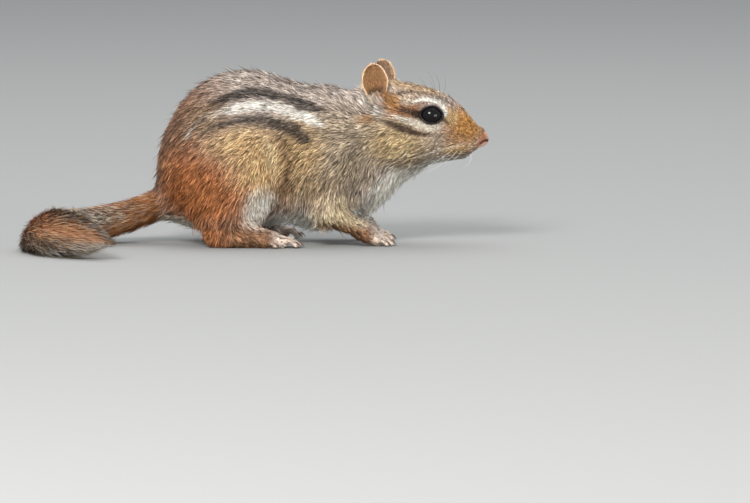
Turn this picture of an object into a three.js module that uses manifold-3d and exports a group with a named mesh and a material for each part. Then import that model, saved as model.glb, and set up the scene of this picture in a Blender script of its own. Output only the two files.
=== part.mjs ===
// A life-size eastern chipmunk, crouched on all fours, head raised and tail laid round on the ground.
// Millimetres. +X is forwards, +Y its left, +Z up, the ground Z = 0. Sizes run to the tips of the coat.
import * as THREE from "three";
import { mergeVertices } from "three/addons/utils/BufferGeometryUtils.js";
import Module from "manifold-3d";

const wasm = await Module();
wasm.setup();

// Driving dimensions
const SEAM = 0.3; // the thin cut between two neighbouring parts
const HEAD_YAW = -8; // degrees, towards the animal's right
const NECK_PIVOT = [22, 0, 44]; // the head turns about the vertical through this point
const EYE = { centre: [47.9, 7.2, 46.3], radius: 4.1, facing: [0.2, 0.95, 0.18] };
const EYE_OPENING = { halfWidth: 3.7, halfHeight: 2.8 };
const NOSE = { centre: [64.7, 0, 37.6], radii: [2.9, 2.7, 2.7] };
const EAR = { root: [29.2, 11, 52.7], up: [-0.14, 0.16, 0.98], facing: [0.42, 0.9, -0.08] };
const EAR_SIZE = { sunk: 2, height: 12.4, halfWidth: 4.8, cup: 3.2, thickness: 0.9 };
const CELL = { torso: 6.3, head: 3.1, thigh: 5.4, leg: 3.5 };

// Flesh and coat as rounded masses. An egg has a centre, three radii and a pitch that lifts its front end;
// a taper runs from one centre to another with a radius at each. soft is the width of its joining fillet.
// Masses off the middle are given for the left side and mirrored.
const TRUNK = {
  abdomen: { centre: [-19, 0, 34], radii: [29.5, 21.5, 29], soft: 0 },
  rump: { centre: [-31.5, 0, 24], radii: [19.5, 18, 21], pitch: 16, soft: 8 },
  chest: { centre: [9, 0, 31.5], radii: [22, 18, 24], soft: 14 },
  nape: { from: [14, 0, 38], to: [30, 0, 41], radii: [17, 12.5], soft: 8 },
  throat: { from: [20, 0, 23], to: [38, 0, 33], radii: [12, 8], soft: 8 },
  brisket: { centre: [8, 0, 19], radii: [14, 12, 15], soft: 4 },
  haunch: { centre: [-25, 14.5, 25.2], radii: [19.5, 11.5, 21.7], yaw: 6, soft: 4 },
  shoulder: { centre: [11, 12, 26], radii: [9, 8, 17], pitch: -12, soft: 4 },
  tailRoot: { from: [-42, 0, 16.5], to: [-59, -0.6, 10.6], radii: [8.5, 5], soft: 8 },
};
const HEAD = {
  skull: { centre: [32, 0, 46], radii: [16, 12.6, 13], pitch: -12, soft: 0 },
  face: { centre: [46, 0, 44], radii: [15.5, 8.6, 11.5], pitch: -22, soft: 6 },
  orbit: { centre: [47, 5.4, 45.9], radii: [8, 4, 6], pitch: -10, soft: 4 },
  snout: { from: [51, 0, 41.3], to: [63, 0, 38.5], radii: [7.6, 4], soft: 5 },
  cheek: { centre: [37.5, 7, 38.5], radii: [12, 6.6, 9], pitch: -14, soft: 6 },
  jaw: { from: [40, 0, 35], to: [57.5, 0, 33.6], radii: [8, 3.1], soft: 5 },
  whiskerPad: { centre: [57.5, 2.6, 36.8], radii: [6, 3, 3.6], pitch: -14, soft: 3 },
  lids: { centre: EYE.centre, radii: [4.9, 4.9, 4.9], soft: 1.6 },
};
const FORELEG = {
  forearm: { from: [9.5, 13.5, 13], to: [23, 12, 6], radii: [6, 3.8], soft: 5 },
  wrist: { from: [22, 12, 5.4], to: [27.5, 11.4, 2.2], radii: [3.5, 2.8], soft: 3 },
};
const HINDLEG = {
  hock: { from: [-30, 17, 4.4], to: [-10, 18.5, 2.9], radii: [4.7, 3.2], soft: 5 },
  instep: { from: [-12, 18.4, 2.8], to: [-6.5, 19.2, 2.2], radii: [3.2, 2.6], soft: 2 },
};
const PART_SOFT = 5; // the fillet between trunk, head and legs

// Toes: root, knuckle and tip of each. The claw is a curved cone beyond the tip.
const TOES = {
  hind: [
    [[-11.5, 17, 2.6], [-8.6, 15.2, 2.4], [-6.6, 14.3, 1.3]],
    [[-8, 17.8, 2.4], [-3.6, 17.2, 2.9], [-1.3, 17, 1.3]],
    [[-8, 19, 2.4], [-2.8, 19, 3], [-0.4, 19, 1.3]],
    [[-8, 20.2, 2.4], [-3.6, 20.9, 2.9], [-1.4, 21.2, 1.3]],
    [[-13, 20.2, 2.4], [-10.3, 22, 2.3], [-8.6, 22.9, 1.2]],
  ],
  fore: [
    [[26.5, 9.9, 2.2], [29, 8.6, 2.3], [30.6, 7.9, 1.1]],
    [[27.5, 10.8, 2.2], [30.8, 10.2, 2.5], [32.6, 9.9, 1.1]],
    [[27.5, 12, 2.2], [30.9, 12.1, 2.5], [32.7, 12.2, 1.1]],
    [[26.5, 13, 2.2], [29.2, 14, 2.3], [30.8, 14.6, 1.1]],
  ],
};
const TOE_SIZE = { hind: { root: 2.6, tip: 1.7, claw: 2.6 }, fore: { root: 2.3, tip: 1.5, claw: 2.2 } };

// The tail: its middle line, and half its width and thickness to the tips of the hair at each station.
// It is rolled about its line, in degrees, so that its flat underside faces the right past the bend.
const TAIL = {
  line: [
    [-46, 0, 15.5], [-62, -1.2, 9.6], [-76, -6, 6.4], [-86, -15.5, 6], [-90, -29, 6.4], [-86, -43, 6.8],
    [-77, -55, 6.8], [-67, -64, 6.4],
  ],
  halfWidth: [5.6, 7.4, 8.8, 9.4, 9.6, 9.6, 9, 7],
  halfThickness: [5, 5.3, 5.8, 6, 6, 6, 5.6, 4.4],
  roll: [0, 12, 24, 34, 42, 48, 50, 50],
  coreShare: 0.46,
  parts: { tail_base: [0.07, 0.3], tail_middle: [0.3, 0.52], tail_bend: [0.52, 0.75], tail_end: [0.75, 1] },
};
const LOCK = { spacing: 10.5, around: 6, length: 17, width: 7, thickness: 1.8 };

// The parting planes: a point on each and the way it faces, forwards for the neck, backwards for the tail.
const NECK_CUT = { point: [22, 0, 41], facing: [0.88, -0.04, 0.47] };
// What parts the limbs from the trunk, on the left side: boxes by corners, a ball by centre and radii.
const FORELEG_BOX = [[3, 7.5, -5], [22.6, 26, 13]];
const FOREPAW_BOX = [[22.6, 3, -5], [45, 26, 10]];
const HINDFOOT_BOX = [[-37, 10.5, -5], [6, 30, 6.8]];
const THIGH_BALL = { centre: [-25, 22, 24.5], radii: [19.5, 12, 20] };

const vec = (a) => new THREE.Vector3(...a);
const radians = THREE.MathUtils.degToRad;

// A mass as a function of a point: its distance outside the surface, near enough, and negative inside.
function massField({ centre, radii, pitch = 0, yaw = 0, from, to }) {
  if (from) {
    const [start, along] = [vec(from), vec(to).sub(vec(from))];
    const reach = along.lengthSq();
    const offset = new THREE.Vector3();
    return (p) => {
      const share = THREE.MathUtils.clamp(offset.subVectors(p, start).dot(along) / reach, 0, 1);
      return offset.addScaledVector(along, -share).length() - THREE.MathUtils.lerp(...radii, share);
    };
  }
  const turn = new THREE.Matrix4().makeRotationZ(radians(yaw));
  turn.multiply(new THREE.Matrix4().makeRotationY(radians(-pitch)));
  const toOwn = turn.setPosition(...centre).invert();
  const [once, twice] = [vec(radii), vec(radii).multiply(vec(radii))];
  const [own, scaled] = [new THREE.Vector3(), new THREE.Vector3()];
  return (p) => {
    own.copy(p).applyMatrix4(toOwn);
    const share = scaled.copy(own).divide(once).length();
    return (share * (share - 1)) / (own.divide(twice).length() + 1e-9);
  };
}

// Joins two distances with a fillet of the given width.
function fillet(a, b, width) {
  if (width <= 0) return Math.min(a, b);
  const near = Math.max(width - Math.abs(a - b), 0) / width;
  return Math.min(a, b) - near * near * width * 0.25;
}

// All masses of a table as one field, the same on both sides of Y = 0.
function bodyField(table) {
  const masses = Object.values(table).map((mass) => ({ field: massField(mass), soft: mass.soft }));
  const side = new THREE.Vector3();
  return (p) => {
    side.set(p.x, Math.abs(p.y), p.z);
    return masses
      .slice(1)
      .reduce((sum, { field, soft }) => fillet(sum, field(side), soft), masses[0].field(side));
  };
}

// The head is shaped looking along +X, then turned about the neck.
const headPose = new THREE.Matrix4()
  .makeTranslation(...NECK_PIVOT)
  .multiply(new THREE.Matrix4().makeRotationZ(radians(HEAD_YAW)))
  .multiply(new THREE.Matrix4().makeTranslation(...NECK_PIVOT.map((x) => -x)));
const trunkField = bodyField(TRUNK);
const straightHeadField = bodyField(HEAD);
const forelegField = bodyField(FORELEG);
const hindlegField = bodyField(HINDLEG);
const fromHeadPose = headPose.clone().invert();
const inHead = new THREE.Vector3();
function fleshField(p) {
  const head = straightHeadField(inHead.copy(p).applyMatrix4(fromHeadPose));
  const legs = fillet(forelegField(p), hindlegField(p), 0);
  return fillet(fillet(trunkField(p), head, PART_SOFT), legs, PART_SOFT);
}

// The surface of a field inside a box, as a closed mesh: one vertex in each grid cell that it crosses,
// moved onto the surface by Newton's steps, and one pair of triangles round each grid edge that it cuts.
function polygonise(field, low, high, cell) {
  const [box, size] = [new THREE.Box3(vec(low), vec(high)), vec(high).sub(vec(low))];
  const middle = box.getCenter(new THREE.Vector3());
  const margin = 1.5 * cell;
  const capped = (p) => {
    const past = ["x", "y", "z"].map((k) => Math.abs(p[k] - middle[k]) - size[k] / 2);
    return Math.max(field(p), ...past);
  };
  const count = ["x", "y", "z"].map((k) => Math.ceil((size[k] + 2 * margin) / cell) + 1);
  const at = (i, j, k) => new THREE.Vector3(i, j, k).multiplyScalar(cell).add(box.min).subScalar(margin);
  const index = (i, j, k) => (i * count[1] + j) * count[2] + k;
  const values = new Float32Array(count[0] * count[1] * count[2]);
  const eachCorner = (work, less = 0) => {
    for (let i = 0; i < count[0] - less; i++)
      for (let j = 0; j < count[1] - less; j++) for (let k = 0; k < count[2] - less; k++) work(i, j, k);
  };
  eachCorner((i, j, k) => (values[index(i, j, k)] = capped(at(i, j, k)) || 1e-6));
  const corners = [0, 1, 2, 3, 4, 5, 6, 7].map((c) => [c >> 2, (c >> 1) & 1, c & 1]);
  const vertexOf = new Map();
  const positions = [];
  eachCorner((i, j, k) => {
    const around = corners.map(([a, b, c]) => values[index(i + a, j + b, k + c)]);
    const inside = around.filter((v) => v < 0).length;
    if (inside === 0 || inside === 8) return;
    const sum = new THREE.Vector3();
    let crossings = 0;
    corners.forEach((start, c) =>
      [4, 2, 1].forEach((bit) => {
        if (c & bit || around[c] < 0 === around[c | bit] < 0) return;
        const share = around[c] / (around[c] - around[c | bit]);
        sum.add(vec(start).lerp(vec(corners[c | bit]), share));
        crossings += 1;
      }),
    );
    const p = at(i, j, k).addScaledVector(sum, cell / crossings);
    for (let step = 0; step < 4; step++) settle(p, capped);
    vertexOf.set(index(i, j, k), positions.length / 3);
    positions.push(p.x, p.y, p.z);
  }, 1);
  const faces = [];
  const strides = [index(1, 0, 0), index(0, 1, 0), index(0, 0, 1)];
  eachCorner((i, j, k) => {
    const here = index(i, j, k);
    [0, 1, 2].forEach((axis) => {
      const next = here + strides[axis];
      if (values[here] < 0 === values[next] < 0) return;
      const [u, v] = [strides[(axis + 1) % 3], strides[(axis + 2) % 3]];
      const ring = [here, here - u, here - u - v, here - v].map((cellIndex) => vertexOf.get(cellIndex));
      if (values[here] > 0) ring.reverse();
      faces.push(ring[0], ring[1], ring[2], ring[0], ring[2], ring[3]);
    });
  }, 1);
  const geometry = new THREE.BufferGeometry();
  geometry.setAttribute("position", new THREE.Float32BufferAttribute(positions, 3));
  return geometry.setIndex(faces);
}

// One Newton step of a point towards a field's surface.
function settle(p, field) {
  const step = 0.05;
  const slope = new THREE.Vector3(
    ...["x", "y", "z"].map((k) => {
      const [ahead, behind] = [p.clone(), p.clone()];
      ahead[k] += step;
      behind[k] -= step;
      return (field(ahead) - field(behind)) / (2 * step);
    }),
  );
  p.addScaledVector(slope, -field(p) / Math.max(slope.lengthSq(), 0.1));
}

// A closed body through rings of points, all of one count, with its ends capped, or joined into a hoop.
function loft(rings, hoop = false) {
  const sides = rings[0].length;
  const positions = rings.flat().flatMap((p) => p.toArray());
  const faces = [];
  const bands = hoop ? rings.length : rings.length - 1;
  for (let r = 0; r < bands; r++)
    for (let s = 0; s < sides; s++) {
      const [a, b] = [r * sides + s, r * sides + ((s + 1) % sides)];
      const shift = (((r + 1) % rings.length) - r) * sides;
      faces.push(a, b, b + shift, a, b + shift, a + shift);
    }
  if (!hoop)
    [rings[0], rings.at(-1)].forEach((ring, end) => {
      const centre = ring.reduce((sum, p) => sum.add(p), new THREE.Vector3()).divideScalar(sides);
      const [hub, first] = [positions.length / 3, end * (rings.length - 1) * sides];
      positions.push(...centre.toArray());
      for (let s = 0; s < sides; s++) {
        const pair = [first + s, first + ((s + 1) % sides)];
        faces.push(hub, ...(end ? pair : pair.reverse()));
      }
    });
  const geometry = new THREE.BufferGeometry();
  geometry.setAttribute("position", new THREE.Float32BufferAttribute(positions, 3));
  return geometry.setIndex(faces);
}

// A tapered tube along a smooth curve through the points, oval where width and thickness differ.
// up is the direction of its thickness. Each size is a function of the share of the way along.
function tube(points, width, thickness, up, { steps = 5, sides = 7 } = {}) {
  const curve = new THREE.CatmullRomCurve3(points.map(vec), false, "centripetal");
  const rings = [];
  for (let i = 0; i <= steps; i++) {
    const [centre, along] = [curve.getPointAt(i / steps), curve.getTangentAt(i / steps)];
    const across = new THREE.Vector3().crossVectors(up, along).normalize();
    const over = new THREE.Vector3().crossVectors(along, across);
    const ring = [];
    for (let s = 0; s < sides; s++) {
      const angle = (2 * Math.PI * s) / sides;
      const point = centre.clone().addScaledVector(across, (width(i / steps) / 2) * Math.cos(angle));
      ring.push(point.addScaledVector(over, (thickness(i / steps) / 2) * Math.sin(angle)));
    }
    rings.push(ring);
  }
  return loft(rings);
}

// Geometry to solid and back
function solid(geometry, matrix = new THREE.Matrix4()) {
  const bare = new THREE.BufferGeometry();
  bare.setAttribute("position", geometry.getAttribute("position").clone());
  if (geometry.index) bare.setIndex(geometry.index.clone());
  const merged = mergeVertices(bare.applyMatrix4(matrix), 1e-4);
  const made = new wasm.Manifold(
    new wasm.Mesh({
      numProp: 3,
      vertProperties: merged.attributes.position.array,
      triVerts: new Uint32Array(merged.index.array),
    }),
  );
  return made;
}
const unite = (solids) => solids.reduce((sum, next) => sum.add(next));
const mirrored = (geometry) => {
  const copy = geometry.clone().applyMatrix4(new THREE.Matrix4().makeScale(1, -1, 1));
  const faces = Array.from(copy.index.array);
  for (let i = 0; i < faces.length; i += 3) [faces[i + 1], faces[i + 2]] = [faces[i + 2], faces[i + 1]];
  return copy.setIndex(faces);
};
// Only the largest closed surface of a solid, as geometry.
function largest(made) {
  const best = made.decompose().reduce((a, b) => (b.volume() > a.volume() ? b : a));
  const { vertProperties, triVerts, numProp } = best.getMesh();
  const corners = [];
  for (let i = 0; i < vertProperties.length; i += numProp) {
    corners.push(Array.from(vertProperties.slice(i, i + 3)));
  }
  const grids = [0.001, 0.002, 0.003, 0.005, 0.008, 0.012, 0.02, 0.0005];
  for (const grid of grids) {
    const geometry = welded(corners, triVerts, grid);
    if (geometry) return geometry;
  }
  throw new Error("a surface that doesn't close");
}

// Corners nearer than a grid step become one, and the slivers that this flattens go. It gives nothing back
// unless each edge is still shared by exactly two faces.
function welded(corners, faces, grid) {
  const [places, positions] = [new Map(), []];
  const merged = corners.map((corner) => {
    const key = corner.map((x) => Math.round(x / grid)).join();
    if (!places.has(key)) {
      places.set(key, positions.length / 3);
      positions.push(...corner);
    }
    return places.get(key);
  });
  const kept = new Map();
  for (let i = 0; i < faces.length; i += 3) {
    const face = [merged[faces[i]], merged[faces[i + 1]], merged[faces[i + 2]]];
    if (new Set(face).size < 3) continue;
    const key = [...face].sort((a, b) => a - b).join();
    if (kept.has(key)) kept.delete(key);
    else kept.set(key, face);
  }
  const edges = new Map();
  for (const face of kept.values())
    face.forEach((a, n) => {
      const b = face[(n + 1) % 3];
      const key = Math.min(a, b) * 1e6 + Math.max(a, b);
      edges.set(key, [...(edges.get(key) ?? []), a < b]);
    });
  const shared = (ways) => ways.length === 2 && ways[0] !== ways[1];
  if (![...edges.values()].every(shared)) return null;
  const geometry = new THREE.BufferGeometry();
  geometry.setAttribute("position", new THREE.Float32BufferAttribute(positions, 3));
  return geometry.setIndex([...kept.values()].flat());
}

// Boxes, planes and balls that cut. grow widens a cutter by that much on every side.
function boxSolid([low, high], grow = 0) {
  const size = vec(high).sub(vec(low)).addScalar(2 * grow);
  const middle = vec(low).add(vec(high)).multiplyScalar(0.5);
  return solid(new THREE.BoxGeometry(...size.toArray()), new THREE.Matrix4().setPosition(middle));
}
function ballSolid({ centre, radii }, grow = 0, sides = 22) {
  const scale = new THREE.Matrix4().makeScale(...radii.map((r) => r + grow));
  const place = new THREE.Matrix4().makeTranslation(...centre).multiply(scale);
  return solid(new THREE.SphereGeometry(1, sides, Math.round(sides * 0.7)), place);
}
// All that lies behind a plane, less half a seam. ahead is all that lies before it.
function behind(point, facing) {
  const side = 400;
  const n = vec(facing).normalize();
  const turn = new THREE.Quaternion().setFromUnitVectors(new THREE.Vector3(0, 0, 1), n);
  const place = new THREE.Matrix4().makeRotationFromQuaternion(turn);
  place.setPosition(vec(point).addScaledVector(n, -side / 2 - SEAM / 2));
  return solid(new THREE.BoxGeometry(side, side, side), place);
}
const ahead = (point, facing) => behind(point, facing.map((x) => -x));
const ABOVE_GROUND = ahead([0, 0, -SEAM / 2], [0, 0, 1]);

// The tail's middle line with its cross-section: across is the way of its width, over that of its thickness.
const tailLine = new THREE.CatmullRomCurve3(TAIL.line.map(vec), false, "centripetal");
function along(list, share) {
  const place = THREE.MathUtils.clamp(share, 0, 1) * (list.length - 1);
  const first = Math.min(Math.floor(place), list.length - 2);
  return THREE.MathUtils.lerp(list[first], list[first + 1], place - first);
}
function tailFrame(share) {
  const forwards = tailLine.getTangentAt(share);
  const level = new THREE.Vector3(0, 0, 1).cross(forwards).normalize();
  const across = level.clone().applyAxisAngle(forwards, radians(along(TAIL.roll, share)));
  const over = new THREE.Vector3().crossVectors(forwards, across);
  return { centre: tailLine.getPointAt(share), forwards, across, over };
}
// A point at an angle round the tail, at a share of the way from its middle line to the tips of its hair.
function tailPoint(share, angle, reach) {
  const { centre, across, over } = tailFrame(share);
  return centre
    .addScaledVector(across, Math.cos(angle) * along(TAIL.halfWidth, share) * reach)
    .addScaledVector(over, Math.sin(angle) * along(TAIL.halfThickness, share) * reach);
}

// Torso, thighs and legs. The limbs' cutters stand on the left and are mirrored.
const mirrorSolid = (made) => solid(mirrored(largest(made)));
const tailStart = tailFrame(TAIL.parts.tail_base[0]);
const tailPlane = [tailStart.centre.toArray(), tailStart.forwards.toArray()];
const limbCuts = [FORELEG_BOX, FOREPAW_BOX, HINDFOOT_BOX].map((box) => boxSolid(box, SEAM));
const leftCuts = unite([...limbCuts, ballSolid(THIGH_BALL, SEAM)]);
const flesh = (low, high, cell) => solid(polygonise(fleshField, low, high, cell)).intersect(ABOVE_GROUND);
const torso = flesh([-72, -34, -4], [46, 34, 70], CELL.torso)
  .intersect(behind(NECK_CUT.point, NECK_CUT.facing))
  .intersect(behind(...tailPlane))
  .subtract(leftCuts)
  .subtract(mirrorSolid(leftCuts));
const thigh = flesh([-52, 4, -4], [4, 32, 52], CELL.thigh)
  .intersect(ballSolid(THIGH_BALL))
  .subtract(boxSolid(HINDFOOT_BOX, SEAM));
const foreleg = flesh([-4, 2, -4], [32, 30, 20], CELL.leg).intersect(boxSolid(FORELEG_BOX));
const splitPaw = boxSolid([[FOREPAW_BOX[0][0] + SEAM, ...FOREPAW_BOX[0].slice(1)], FOREPAW_BOX[1]]);

// A toe with its claw, as one closed body each
function toe([root, knuckle, tip], size) {
  const up = new THREE.Vector3(0, 0, 1);
  const width = (share) => THREE.MathUtils.lerp(size.root, size.tip, share) * (share > 0.95 ? 0.7 : 1);
  const ahead = vec(tip).sub(vec(knuckle)).setZ(0).normalize();
  const clawRoot = vec(tip).addScaledVector(ahead, -0.5).setZ(tip[2] + 0.3);
  const clawMiddle = clawRoot.clone().addScaledVector(ahead, size.claw * 0.55).setZ(tip[2] + 0.35);
  const clawTip = clawRoot.clone().addScaledVector(ahead, size.claw).setZ(0.35);
  const clawLine = [clawRoot, clawMiddle, clawTip].map((point) => point.toArray());
  const clawWidth = (share) => 1.1 - 0.8 * share;
  const clawHeight = (share) => 1.3 - share;
  const claw = tube(clawLine, clawWidth, clawHeight, up, { steps: 2, sides: 5 });
  return [tube([root, knuckle, tip], width, width, up, { steps: 3, sides: 6 }), claw];
}
const toes = (kind) => {
  const parts = TOES[kind].flatMap((points) => toe(points, TOE_SIZE[kind]));
  return parts.map((geometry) => solid(geometry));
};
const hindfoot = unite([
  flesh([-44, 6, -4], [4, 32, 12], CELL.leg).intersect(boxSolid(HINDFOOT_BOX)),
  ...toes("hind"),
]).intersect(ABOVE_GROUND);
const forepaw = unite([flesh([14, 2, -4], [40, 30, 16], CELL.leg), ...toes("fore")])
  .intersect(splitPaw)
  .intersect(ABOVE_GROUND);

// Head. Its details are placed looking along +X and turned with it, the left ones mirrored for the right.
const posed = (geometry) => solid(geometry, headPose);
const bothSides = (geometry) => unite([posed(geometry), posed(mirrored(geometry))]);
const onHead = (x, y, z) => {
  const p = new THREE.Vector3(x, y, z);
  for (let step = 0; step < 6; step++) settle(p, straightHeadField);
  return p.toArray();
};

// The opening between the lids, as points round the ball of the eye at a distance from its centre.
const eyeOut = vec(EYE.facing).normalize();
const eyeBack = new THREE.Vector3(-1, 0, 0).addScaledVector(eyeOut, eyeOut.x).normalize();
const eyeUp = new THREE.Vector3().crossVectors(eyeOut, eyeBack);
if (eyeUp.z < 0) eyeUp.negate();
function lidPoint(angle, distance) {
  const a = (EYE_OPENING.halfWidth / EYE.radius) * Math.cos(angle);
  const b = (EYE_OPENING.halfHeight / EYE.radius) * Math.sin(angle);
  const out = Math.sqrt(Math.max(1 - a * a - b * b, 0.05));
  return vec(EYE.centre)
    .addScaledVector(eyeBack, a * distance)
    .addScaledVector(eyeUp, b * distance)
    .addScaledVector(eyeOut, out * distance);
}
function lidRing(distance, count = 18) {
  return Array.from({ length: count }, (_, i) => lidPoint((2 * Math.PI * i) / count, distance));
}
const eyeBall = (grow) => new THREE.SphereGeometry(EYE.radius + grow, 14, 10).translate(...EYE.centre);
const eyeOpening = loft([lidRing(1.2), lidRing(EYE.radius + 3.5)]);
const LID_RIM = 0.45;
function lidRim() {
  const distance = EYE.radius + SEAM + LID_RIM;
  const [rings, count, sides] = [[], 18, 5];
  for (let i = 0; i < count; i++) {
    const angle = (2 * Math.PI * i) / count;
    const middle = lidPoint(angle, distance);
    const tangent = lidPoint(angle + 0.05, distance).sub(lidPoint(angle - 0.05, distance)).normalize();
    const away = middle.clone().sub(vec(EYE.centre)).normalize();
    const aside = new THREE.Vector3().crossVectors(tangent, away).normalize();
    rings.push(
      Array.from({ length: sides }, (_, s) => {
        const turn = (2 * Math.PI * s) / sides;
        return middle
          .clone()
          .addScaledVector(away, Math.cos(turn) * LID_RIM)
          .addScaledVector(aside, Math.sin(turn) * LID_RIM * 1.3);
      }),
    );
  }
  return loft(rings, true);
}

// Mouth: a groove from the front round to each corner, with a lip raised above and below it
const MOUTH = [[63.6, 0, 34.9], [62.2, 2, 34.3], [59.8, 3.6, 33.2], [57, 5, 32.4], [54.4, 6, 32.3]];
const mouthLine = (rise) => MOUTH.map(([x, y, z]) => onHead(x, y, z + rise));
const evenly = (size) => (share) => size * (share > 0.9 ? 0.6 : 1);
const overBoth = (rise) => {
  const left = mouthLine(rise);
  const right = left.slice(1).reverse();
  return [...right.map(([x, y, z]) => [x, -y, z]), ...left];
};
const UP = new THREE.Vector3(0, 0, 1);
const groove = tube(overBoth(0), () => 0.9, () => 0.9, UP, { steps: 9, sides: 5 });
const lipSize = () => 1.3;
const lips = [0.95, -0.95].map((rise) => tube(overBoth(rise), lipSize, lipSize, UP, { steps: 9, sides: 5 }));

// Nose pad with its comma-shaped nostrils
const nosePad = new THREE.SphereGeometry(1, 12, 9);
const noseShape = (grow) =>
  nosePad.clone().scale(...NOSE.radii.map((r) => r + grow)).translate(...NOSE.centre);
const [noseX, noseY, noseZ] = NOSE.centre;
const nostril = tube(
  [
    [noseX + 2.9, noseY + 0.75, noseZ + 0.5],
    [noseX + 1.7, noseY + 1.5, noseZ + 0.5],
    [noseX + 1.1, noseY + 2.6, noseZ + 0.1],
    [noseX + 0.3, noseY + 3.2, noseZ - 0.3],
  ],
  () => 0.8,
  () => 0.8,
  UP,
  { steps: 5, sides: 6 },
);

const headCore = flesh([8, -30, 4], [72, 26, 72], CELL.head)
  .intersect(ahead(NECK_CUT.point, NECK_CUT.facing))
  .subtract(bothLimb(boxSolid(FORELEG_BOX, SEAM)))
  .subtract(bothLimb(boxSolid(FOREPAW_BOX, SEAM)));
function bothLimb(made) {
  return made.add(mirrorSolid(made));
}
const head = unite([headCore, bothSides(lidRim()), ...lips.map(posed)])
  .subtract(bothSides(eyeBall(SEAM)))
  .subtract(bothSides(eyeOpening))
  .subtract(posed(groove))
  .subtract(posed(noseShape(SEAM)));
const nose = posed(noseShape(0)).subtract(bothSides(nostril));

// Ear: a cup of crescent rings, thickest at its foot, open the way it faces, trimmed clear of the head.
function earCup() {
  const facing = vec(EAR.facing).normalize();
  const up = vec(EAR.up).addScaledVector(facing, -vec(EAR.up).dot(facing)).normalize();
  const across = new THREE.Vector3().crossVectors(up, facing);
  const [rings, levels, count] = [[], 8, 7];
  for (let level = 0; level <= levels; level++) {
    const share = level / levels;
    const height = THREE.MathUtils.lerp(-EAR_SIZE.sunk, EAR_SIZE.height, share);
    const roundness = share < 0.5 ? 0.68 + 0.64 * share : Math.sqrt(1 - ((share - 0.5) / 0.53) ** 2);
    const half = EAR_SIZE.halfWidth * roundness;
    const cup = EAR_SIZE.cup * (1.15 - 0.75 * share);
    const filled = EAR_SIZE.thickness * (1 + 2.2 * (1 - share) ** 4);
    const centre = vec(EAR.root).addScaledVector(up, height);
    const point = (a, lift) => {
      const place = centre.clone().addScaledVector(across, half * a);
      return place.addScaledVector(facing, lift);
    };
    const shares = Array.from({ length: count + 1 }, (_, i) => (2 * i) / count - 1);
    const back = shares.map((a) => point(a, -cup * (1 - a * a)));
    const inner = (a) => -cup * (1 - a * a) + filled * (0.7 + 0.3 * (1 - a * a));
    const front = shares.map((a) => point(a * 0.96, inner(a)));
    rings.push([...back, ...front.reverse()].reverse());
  }
  return loft(rings);
}
const clearHead = (p) => fleshField(p) - SEAM - 0.05;
const nearEars = solid(polygonise(clearHead, [14, -24, 34], [46, 20, 66], 1.8));
const ears = [posed(earCup()), posed(mirrored(earCup()))].map((ear) => ear.subtract(nearEars));

// Tail: a core along the middle line, and flat tapered locks, their roots sunk in it, tips reaching the
// outline. They lean back along the tail, in staggered rows, each a little different from its neighbours.
let seed = 20417;
function random() {
  seed = (seed * 1664525 + 1013904223) % 4294967296;
  return seed / 4294967296;
}
const sway = (amount) => (2 * random() - 1) * amount;
const tailLength = tailLine.getLength();
const lockRows = Math.floor(tailLength / LOCK.spacing);
const locks = [];
for (let row = 0; row < lockRows; row++)
  for (let n = 0; n < LOCK.around; n++) {
    const angle = (2 * Math.PI * (n + (row % 2) / 2)) / LOCK.around + sway(0.12);
    const start = (row * LOCK.spacing + sway(1.2)) / tailLength + 0.02;
    const reach = (LOCK.length * (1 + sway(0.12))) / tailLength;
    const end = Math.min(start + reach, 1);
    const past = Math.max(start + reach - 1, 0) * tailLength;
    const outer = (1 + sway(0.07)) * (1 - (0.65 * past) / LOCK.length);
    const points = [0, 0.35, 0.7, 1].map((share) => {
      const level = THREE.MathUtils.lerp(TAIL.coreShare * 0.6, outer, Math.sin((share * Math.PI) / 2));
      const place = THREE.MathUtils.lerp(start, end, share);
      const point = tailPoint(place, angle, level);
      return point.addScaledVector(tailFrame(place).forwards, past * share).toArray();
    });
    const out = vec(points[2]).sub(tailFrame(start).centre).normalize();
    const outline = (share) => (share < 0.4 ? 0.75 + 0.6 * share : 1.25 * (1 - share) ** 0.7 + 0.1);
    const width = (share) => LOCK.width * outline(share);
    const thickness = (share) => LOCK.thickness * (1.05 - 0.8 * share);
    locks.push({ start, geometry: tube(points, width, thickness, out, { steps: 4, sides: 4 }) });
  }
function tailPart([from, to]) {
  const steps = Math.max(4, Math.round(((to - from) * tailLength) / 6));
  const rings = [];
  for (let i = 0; i <= steps; i++) {
    const share = Math.min(THREE.MathUtils.lerp(from - 0.02, to + 0.02, i / steps), 1);
    const size = TAIL.coreShare + (share < 0.12 ? 0.3 : 0) - 0.4 * Math.max((share - 0.85) / 0.15, 0);
    rings.push(Array.from({ length: 10 }, (_, s) => tailPoint(share, (2 * Math.PI * s) / 10, size)));
  }
  const core = loft(rings);
  const hair = locks.filter(({ start }) => start > from - LOCK.length / tailLength && start < to);
  const whole = unite([core, ...hair.map(({ geometry }) => geometry)].map((geometry) => solid(geometry)));
  const [first, last] = [tailFrame(from), tailFrame(Math.min(to, 1))];
  const pastRoot = ahead(first.centre.toArray(), first.forwards.toArray());
  const trimmed = whole.intersect(ABOVE_GROUND).intersect(pastRoot);
  return to < 1 ? trimmed.intersect(behind(last.centre.toArray(), last.forwards.toArray())) : trimmed;
}

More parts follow.
